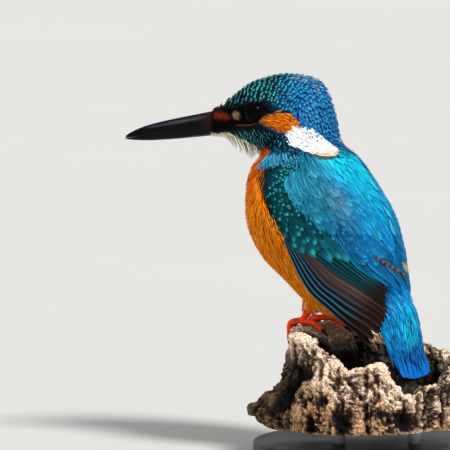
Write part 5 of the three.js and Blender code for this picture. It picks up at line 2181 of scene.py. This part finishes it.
@dataclass
class Foot:
    """One leg, its toes round the wood's edge, and their claws."""

    side: str
    sign: int
    sideways: float = 7.0
    spread: float = 2.3
    toe_radius: float = 1.15
    tip_radius: float = 0.9
    tarsus_radius: float = 1.35
    ridge_half: float = 4.2
    rim_radius: float = 33.7
    gap: float = 0.3
    claw_length: float = 3.1

    def toe_path(self, toe: Toe) -> Array:
        """The line that a toe follows.

        Args:
            toe: The toe.

        Returns:
            Evenly spaced points along its middle, over a ridge whose edge falls back by
            left^2 / (2 R).
        """
        top = RIDGE_HEIGHT + self.toe_radius + self.gap
        if toe.drop == 0:
            knots = [(-0.4, top, 0), (-3.2, top, 0.3), (-5.4, top - 0.6, 0.7), (-8.6, top - 2.4, 1)]
        else:
            front = self.ridge_half - 0.2 + self.toe_radius + self.gap
            knots = [(-0.4, top, 0), (2.6, top, 0.75), (front - 0.5, top - 0.7, 1)]
            knots += [(front, top - 3, 1), (front, top - 1.2 - toe.drop, 1)]
        forward, height, share = np.array(knots).T
        left = self.sign * (self.sideways + self.spread * toe.splay * share)
        points = TRUNK.point(forward - left**2 / (2 * self.rim_radius), height, left)
        fine = spline(points, np.linspace(0, len(points) - 1, 400))
        gone = travel(fine)
        even = np.linspace(0, gone[-1], 56)
        return np.stack([np.interp(even, gone, axis) for axis in fine.T], -1)

    def scuted(self, path: Array, first: float, last: float, scutes: int) -> tuple[Array, Faces]:
        """Skin of a toe whose upper side carries overlapping scutes.

        Args:
            path: Points along its middle.
            first: Radius at its root.
            last: Radius at its tip.
            scutes: Number of scutes along it.

        Returns:
            Points and faces round rings whose radius is the taper, swollen 7% at three
            pads, plus a saw-tooth of 0.13 mm on the side away from the wood.
        """
        share = np.linspace(0, 1, len(path))[:, None]
        sides = 20
        radius = (first + (last - first) * share) * (1 + 0.07 * np.cos(6 * np.pi * share))
        upper = np.clip(-np.sin(circle(sides)), 0, 1) ** 0.5
        relief = 0.13 * ((share * scutes) % 1.0 - 0.5) * upper
        return closed_tube(sweep(path, radius + relief, TRUNK.left, sides)[:, ::-1])

    def claw(self, toe: Toe, path: Array) -> tuple[Array, Faces]:
        """A hooked claw beyond a toe's end.

        Args:
            toe: The toe.
            path: Points along its middle.

        Returns:
            Points and faces of a cone along an arc: sin(1.25 s) ahead and 0.8 s^2 inwards.
        """
        ahead = unit(path[-1] - path[-2])
        bend = -UP if toe.drop == 0 else -TRUNK.forward
        share = np.linspace(0, 1, 26)[:, None]
        reach = self.claw_length + self.tip_radius * 0.6
        run = self.tip_radius * 0.55 + reach * 0.82 * np.sin(share * 1.25) / np.sin(1.25)
        arc = path[-1] + ahead * run + bend * 0.8 * share**2
        radius = 0.62 * (1 - share) ** 0.75 + 0.07
        return closed_tube(sweep(arc, radius, TRUNK.left, 16, 1.15)[:, ::-1])

    def build(self) -> None:
        """Makes the leg with its toes as one piece, and its four claws as another."""
        hip = TRUNK.point(-6, 55.5, self.sign * 7.5)
        ankle = RIDGE_HEIGHT + self.toe_radius + self.gap + 0.4
        ankle = TRUNK.point(-0.4, ankle, self.sign * self.sideways)
        shin = hip + (ankle - hip) * np.linspace(0.0, 1.0, 40)[:, None]
        paths = [self.toe_path(toe) for toe in TOES]
        parts = [self.scuted(shin, self.tarsus_radius, self.tarsus_radius * 0.95, 8)]
        for toe, path in zip(TOES, paths):
            parts.append(self.scuted(path, self.toe_radius, self.tip_radius, 9 if toe.drop else 7))
        skin = merge(parts)
        tint = mix(colour("f24208"), colour("d22c04"), ease(lattice_noise(skin[0] / 2.3), -0.6, 0.8))
        # painted shade: the toes darker where they hang below the wood's top
        tint = mix(tint, colour("8c2a12"), 0.35 * ease(RIDGE_HEIGHT - 2 - skin[0][:, 2], 0, 6))
        side = self.side
        make_piece(f"foot_{side}", skin, tint, Surface.FOOT.material(), "foot_skin", f"leg_{side}")
        skin = merge([self.claw(toe, path) for toe, path in zip(TOES, paths)])
        nodes = (f"claw_{side}_{toe.name}" for toe in TOES)
        make_piece(f"claws_{side}", skin, colour("171313"), Surface.CLAW.material(), "claw_horn", *nodes)


# ---- Stump and stand ----------------------------------------------------------------


def round_about(table: Curve, angle: Array) -> Array:
    """Values round a circle from a table.

    Args:
        table: Pairs of angle and value.
        angle: Angles to read it at, in degrees.

    Returns:
        The values, blended between pairs by 3t^2 - 2t^3.
    """
    at, values = np.array(table).T
    turn = np.mod(angle, 360)
    index = np.searchsorted(at, turn, side="right") - 1
    stop = np.append(at, 360)[index + 1]
    share = ease((turn - at[index]) / (stop - at[index]), 0, 1)
    return values[index] + (np.append(values, values[0])[index + 1] - values[index]) * share


def degrees_from(angle: Array, middle: float) -> Array:
    """How far an angle lies from another round a circle, from 0 to 180."""
    return np.abs(np.mod(angle - middle + 540, 360) - 180)


@dataclass
class Stump:
    """The broken hollow stump that the bird grips."""

    x: float = 28.0
    y: float = -7.0
    bottom: float = 12.0
    floor: float = 20.5
    horn_angle: float = 140.0
    horn_half_arc: float = 21.0
    horn_radius: float = 33.7
    ridge_width: float = 8.4
    edge_bevel: float = 1.2
    ridge_slope: float = 28.0  # degrees that its inner side falls
    floor_radius: float = 12.5
    around: int = 420
    wall_rows: int = 96
    heights: Curve = (
        ((0, 36), (30, 36), (62, 40), (92, 42.5), (142, 46), (180, 46), (205, 45), (220, 43))
        + ((235, 39.5), (250, 35.4), (270, 36), (290, 25), (315, 31))
    )
    radii: Curve = (
        ((0, 33), (45, 31.5), (90, 30), (140, 33.7), (180, 31.4), (200, 32), (225, 33.5))
        + ((270, 32), (315, 33))
    )
    cavities: tuple[tuple[float, float, float, float], ...] = (  # angle, height, and reaches
        ((211, 24, 7, 7), (250, 13.5, 4, 5), (286, 16, 7, 4), (231, 15, 2.5, 4))
    )

    def horn(self, angle: Array) -> Array:
        """1 on the ridge that the bird grips, 0 away from it."""
        return 1 - ease(degrees_from(angle, self.horn_angle), self.horn_half_arc, 34)

    def rim(self, angle: Array) -> Array:
        """Height of the broken rim: the table plus two waves, level on the horn."""
        turn = np.radians(angle)
        jagged = 0.8 * np.sin(11 * turn + 0.7) + 0.5 * np.sin(23 * turn)
        broken = round_about(self.heights, angle) + jagged
        return broken + (RIDGE_HEIGHT - broken) * self.horn(angle)

    def radius(self, angle: Array, height: Array) -> Array:
        """Outer radius of the wood.

        Args:
            angle: Places round the stump.
            height: Their heights.

        Returns:
            The table's radius plus waves for the bark, the flare, the burl and the apron.
        """
        turn, horn = np.radians(angle), self.horn(angle)
        broad = round_about(self.radii, angle)
        plain = broad + (self.horn_radius - broad) * horn
        bark = 0.9 * np.sin(9 * turn + 0.05 * height) + 0.25 * np.sin(17 * turn + 1.3 + 0.09 * height)
        bark = bark * (1 - horn * ease(height, 30, 36))
        flare = 6.5 * bell(degrees_from(angle, 180), 48)
        flare = flare * (1 - ease(height, self.bottom, RIDGE_HEIGHT - 8))
        burl = 10 * bell(degrees_from(angle, 190), 18) * bell(height - 17.5, 6)
        facing = bell((np.mod(angle, 360) - 240) ** 2, 42**2)
        apron = 5.5 * facing * (1 - horn) * (1 - ease(height, 19, 40))
        return plain + bark + flare + burl + apron

    def hollows(self, angle: Array, height: Array) -> Array:
        """Where the cavities of the front are, which are sunk in and painted dark as shade.

        Args:
            angle: Places round the stump.
            height: Their heights.

        Returns:
            exp(-d^3) of the distance d from the nearest one's middle, over its reach.
        """
        made = np.zeros(angle.shape)
        for turn, level, wide, high in self.cavities:
            away = ((angle - turn) / wide) ** 2 + ((height - level) / high) ** 2
            made = np.maximum(made, np.exp(-(away**1.5)))
        return made

    def surface(self) -> tuple[Array, Array, Array]:
        """The stump's smooth skin before it is roughened.

        Returns:
            Points as (row, place round, xyz) from the bottom's edge up the outside, over
            the rim and down the hollow; their angles; and how deep in the hollow each
            lies, from 0 outside to 1 on its floor.
        """
        angle = np.arange(self.around) * 360 / self.around
        top, horn, bevel, width = self.rim(angle), self.horn(angle), self.edge_bevel, self.ridge_width
        rows, depths = [], [0.0] * self.wall_rows
        for share in np.linspace(0, 1, self.wall_rows):
            height = self.bottom + (top - bevel - self.bottom) * share
            rows.append((self.radius(angle, height), height))
        knots = np.array(  # way in and down from the rim, elsewhere and on the horn
            [
                (0, bevel, 0, bevel),
                (bevel, 0, bevel, 0),
                (3.6, 0.4, width, 0),
                (6.4, 2.2, width + 8, 8 * np.tan(np.radians(self.ridge_slope))),
                (8.2, 8, width + 11, 12),
                (9.6, 14, width + 12.5, 22),
            ]
        )
        outer = self.radius(angle, top)
        for share in (*np.linspace(0.12, 1, 6), *np.linspace(1.06, 5, 84)):
            wall, fall, horn_wall, horn_fall = (np.interp(share, np.arange(6), knot) for knot in knots.T)
            height = np.maximum(top - (fall + (horn_fall - fall) * horn), self.floor + 0.6)
            rows.append((outer - (wall + (horn_wall - wall) * horn), height))
            depths.append(max(0.0, (share - 1) / 4))
        inner, above = rows[-1]
        ring = self.floor_radius + 1.5 * np.sin(np.radians(3 * angle))
        for share in np.linspace(0.1, 1, 8):
            rows.append((inner + (ring - inner) * share, above + (self.floor - above) * share))
        for share in (0.75, 0.5, 0.25, 0.06):
            rows.append((ring * share, np.full_like(angle, self.floor - 0.5 * (1 - share))))
        depths += [1.0] * 12
        reach, height = np.moveaxis(np.array(rows), 1, 0)
        turn, full = np.radians(angle), np.ones(self.around)
        points = np.stack([self.x + reach * np.cos(turn), self.y + reach * np.sin(turn), height], -1)
        return points, angle * np.ones_like(height), np.array(depths)[:, None] * full

    def build(self) -> None:
        """Makes the stump: its skin roughened along its normals, and closed below."""
        points, angle, deep = self.surface()
        across = np.roll(points, -1, axis=1) - np.roll(points, 1, axis=1)
        normal = unit(np.cross(across, np.gradient(points, axis=0)))
        height = points[..., 2]
        to_rim = self.rim(angle) - height
        outside = (deep == 0) & (to_rim > 1.0)
        held = self.horn(angle) * ease(height, 36, 40) * (deep < 0.62)
        grain = fractal(points * (0.35, 0.35, 0.05), 4, 3)
        lumps = fractal(points * 0.16, 3, 11)
        crumbs = fractal(points * 1.1, 4, 21)
        pits = ease(lattice_noise(points * 0.62, 31), 0.3, 0.8)
        small_pits = ease(lattice_noise(points * 1.5, 41), 0.35, 0.8)
        strands = fractal(points * (0.62, 0.62, 0.045), 4, 51)
        ridges = 1 - 2.2 * np.abs(fractal(points * (0.3, 0.3, 0.12), 3, 61))
        near_rim = 1 - ease(to_rim, 4, 16) * outside
        cavity = self.hollows(angle, height) * outside
        relief = (0.55 * grain + 0.4 * strands) * (0.3 + 0.7 * outside) + 1.4 * lumps
        relief = relief + 0.6 * ridges + 0.6 * crumbs - 0.3
        splits = ease(-strands, 0.45, 0.95) * outside * (1 - 0.7 * near_rim)
        relief = relief - 1.3 * splits - 2.6 * cavity
        relief = relief - (0.8 * pits + 0.6 * small_pits) * (0.35 + 0.65 * near_rim)
        calm = 0.22 * crumbs - 0.35 * small_pits - 0.3
        relief = relief * (1 - held) + calm * held
        relief = relief * ease(height, self.bottom, self.bottom + 1.5)
        rough = points + normal * relief[..., None]
        rough[..., 2] = np.maximum(rough[..., 2], self.bottom)

        # bare weathered wood, darker outside, then moss, wear, painted shade on the side towards -X, and
        # painted shade in the hollow and the cavities
        light = ease(relief + 0.8 * crumbs + 0.2 * strands, -1.1, 0.8)
        light = mix(colour("947058"), colour("f0d4ba"), light)
        side = ease(0.5 * strands + 0.6 * crumbs + 0.5 * relief, -0.8, 0.7)
        side = mix(colour("301e12"), colour("c0946c"), side)
        tint = mix(light, mix(side, light, ease(-to_rim, -19, -5)), outside * 1.0)
        moss = ease(lattice_noise(points * 0.45, 71), 0.15, 0.5) * (1 - ease(to_rim, 3, 9))
        # painted shade: the side towards -X darkened below the rim
        painted_shade_side = bell((angle - 180) ** 2, 46**2) * ease(to_rim, 3, 12) * outside
        for code, share in (
            ("b8a258", 0.5 * moss * ease(crumbs, -0.2, 0.4) * (1 - held)),
            ("c8ae98", 0.4 * held),
            ("20120a", 0.85 * painted_shade_side),
            # painted shade: the hollow darkened to near black towards its floor
            ("0c0806", 0.97 * ease(deep, 0.28 + 0.14 * self.horn(angle), 0.7)),
            # painted shade: the cavities of the front darkened to near black
            ("0e0906", 0.9 * cavity),
        ):
            tint = mix(tint, colour(code), share)
        # painted shade: sunk places get a low fourth number, which the wood's finish darkens
        raised = 0.1 + 0.9 * ease(relief, -1.7, 0.5)
        full = np.concatenate([tint, raised[..., None]], -1).reshape(-1, 4)
        # the bottom's middle point brown, and the hollow floor's middle point near black as painted shade
        full = np.concatenate([full, [[*colour("4a382c"), 0.8], [*colour("120c09"), 0.5]]])
        vertices, faces = closed_tube(rough)
        skin = vertices, [f[:, ::-1] for f in faces]
        make_piece("stump_wood", skin, full, Surface.WOOD.material(), "weathered_wood", "perch_stump")


@dataclass
class Stand:
    """A round painted base under two bare steel rods."""

    x: float = 24.2
    radius: float = 42.0
    thickness: float = 4.0
    bevel: float = 0.8
    sides: int = 160

    def build(self) -> None:
        """Makes the base as a turned profile and dresses the rods."""
        turn = np.linspace(np.pi / 2, 0, 7)
        inset = [self.radius * 0.6, self.bevel / 2, 0, *(self.bevel * (1 - np.sin(turn))), 3.0, 3.2, 3.4]
        reach = self.radius - np.array([*inset, self.radius - 2.0])
        low = [*(self.bevel * (1 - np.cos(turn))), 0.0, 0.15, 0.0, 0.0]
        height = np.array([0.0, 0.0, self.bevel / 2, *(self.thickness - np.array(low))])
        around = circle(self.sides)
        reach, height = reach[:, None], height[:, None] * np.ones(self.sides)
        rings = np.stack([self.x + reach * np.cos(around), reach * np.sin(around), height], -1)
        points, faces = closed_tube(rings)
        made = new_mesh("display_base", points, [f[:, ::-1] for f in faces])
        made.data.set_sharp_from_angle(angle=0.6)
        place_piece(made, Surface.PAINT.material(), "stand_paint", "stand_base")
        for name in ("stand_rod_left", "stand_rod_right"):
            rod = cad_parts[name]
            rod.data.materials.clear()
            rod.data.materials.append(Surface.STEEL.material())


# ---- Room ---------------------------------------------------------------------------


@dataclass
class Studio:
    """Pale floor, soft lights and the camera."""

    target: Triple = (-0.02824, 0.0, 0.0845)
    elevation: float = 6.0
    distance: float = 2.0
    view_width: float = 0.16667  # metres of the object that the frame spans
    sensor: float = 36.0
    floor_reach: float = 30000.0
    sky: tuple[float, ...] = (0.95, 0.97, 1.0, 1.0)
    sky_strength: float = 0.42
    key: tuple[Triple, float, float] = ((0.5, -0.45, 1.0), 14, 3.2)  # place, width, power
    fill: tuple[Triple, float, float] = ((-0.9, -0.62, 0.42), 60, 1.35)
    clip: Pair = (0.05, 100.0)

    def add(self, name: str, data: bpy.types.ID, place: Vector) -> Piece:
        """Adds a light or camera that faces the bird.

        Args:
            name: Its name.
            data: The light or camera.
            place: Where it stands, in metres.

        Returns:
            The object.
        """
        made = bpy.data.objects.new(name, data)
        made.location = place
        made.rotation_euler = (Vector(self.target) - place).to_track_quat("-Z", "Y").to_euler()
        bpy.context.scene.collection.objects.link(made)
        return made

    def light(self, name: str, place: Triple, size: float, power: float) -> Piece:
        """A soft light like the open sky, its width given in degrees."""
        data = bpy.data.lights.new(name, "SUN")
        data.energy, data.angle = power, np.radians(size)
        return self.add(name, data, Vector(place))

    def build(self) -> None:
        """Makes the floor, the lights, the pale surroundings and the camera."""
        scene = bpy.context.scene
        corners = np.array([(-1, -1, 0), (1, -1, 0), (1, 1, 0), (-1, 1, 0)]) * self.floor_reach
        floor = new_mesh("floor", corners, [np.array([[0, 1, 2, 3]])])
        floor.data.materials.append(Surface.FLOOR.material())
        world = bpy.data.worlds.new("pale_room")
        world.use_nodes = True
        sky = world.node_tree.nodes["Background"].inputs
        sky[0].default_value, sky[1].default_value = self.sky, self.sky_strength
        scene.world = world
        self.light("key", *self.key)
        self.light("fill", *self.fill).visible_glossy = False
        data = bpy.data.cameras.new("camera")
        data.sensor_width, data.lens = self.sensor, self.sensor * self.distance / self.view_width
        data.clip_start, data.clip_end = self.clip
        lean = np.radians(self.elevation)
        back = Vector((0.0, -np.cos(lean), np.sin(lean)))
        scene.camera = self.add("camera", data, Vector(self.target) + back * self.distance)
        scene.view_settings.view_transform = "Standard"


# ---- Whole --------------------------------------------------------------------------


def main() -> None:
    """Builds the bird, its perch, its stand and the room, in that order."""
    logging.basicConfig(level=logging.INFO, format="%(message)s")
    Skin().build()
    Plumage().build()
    flight = PlumageFinish("flight_vanes", 0.55, 0.35, 7.0, barb=0.15, specular=0.04).build()
    spotted = PlumageFinish("covert_vanes", 0.55, 0.5, 7.0, 0.4, 0.7, 0.92, 0.12, 0.12, 0.06).build()
    for side, sign in SIDES:
        Wing(side, sign, flight, spotted).build()
    Tail().build()
    Bill().build()
    for side, sign in SIDES:
        Eye(side, sign).build()
        Foot(side, sign).build()
    Stump().build()
    Stand().build()
    Studio().build()


if __name__ == "__main__":
    main()
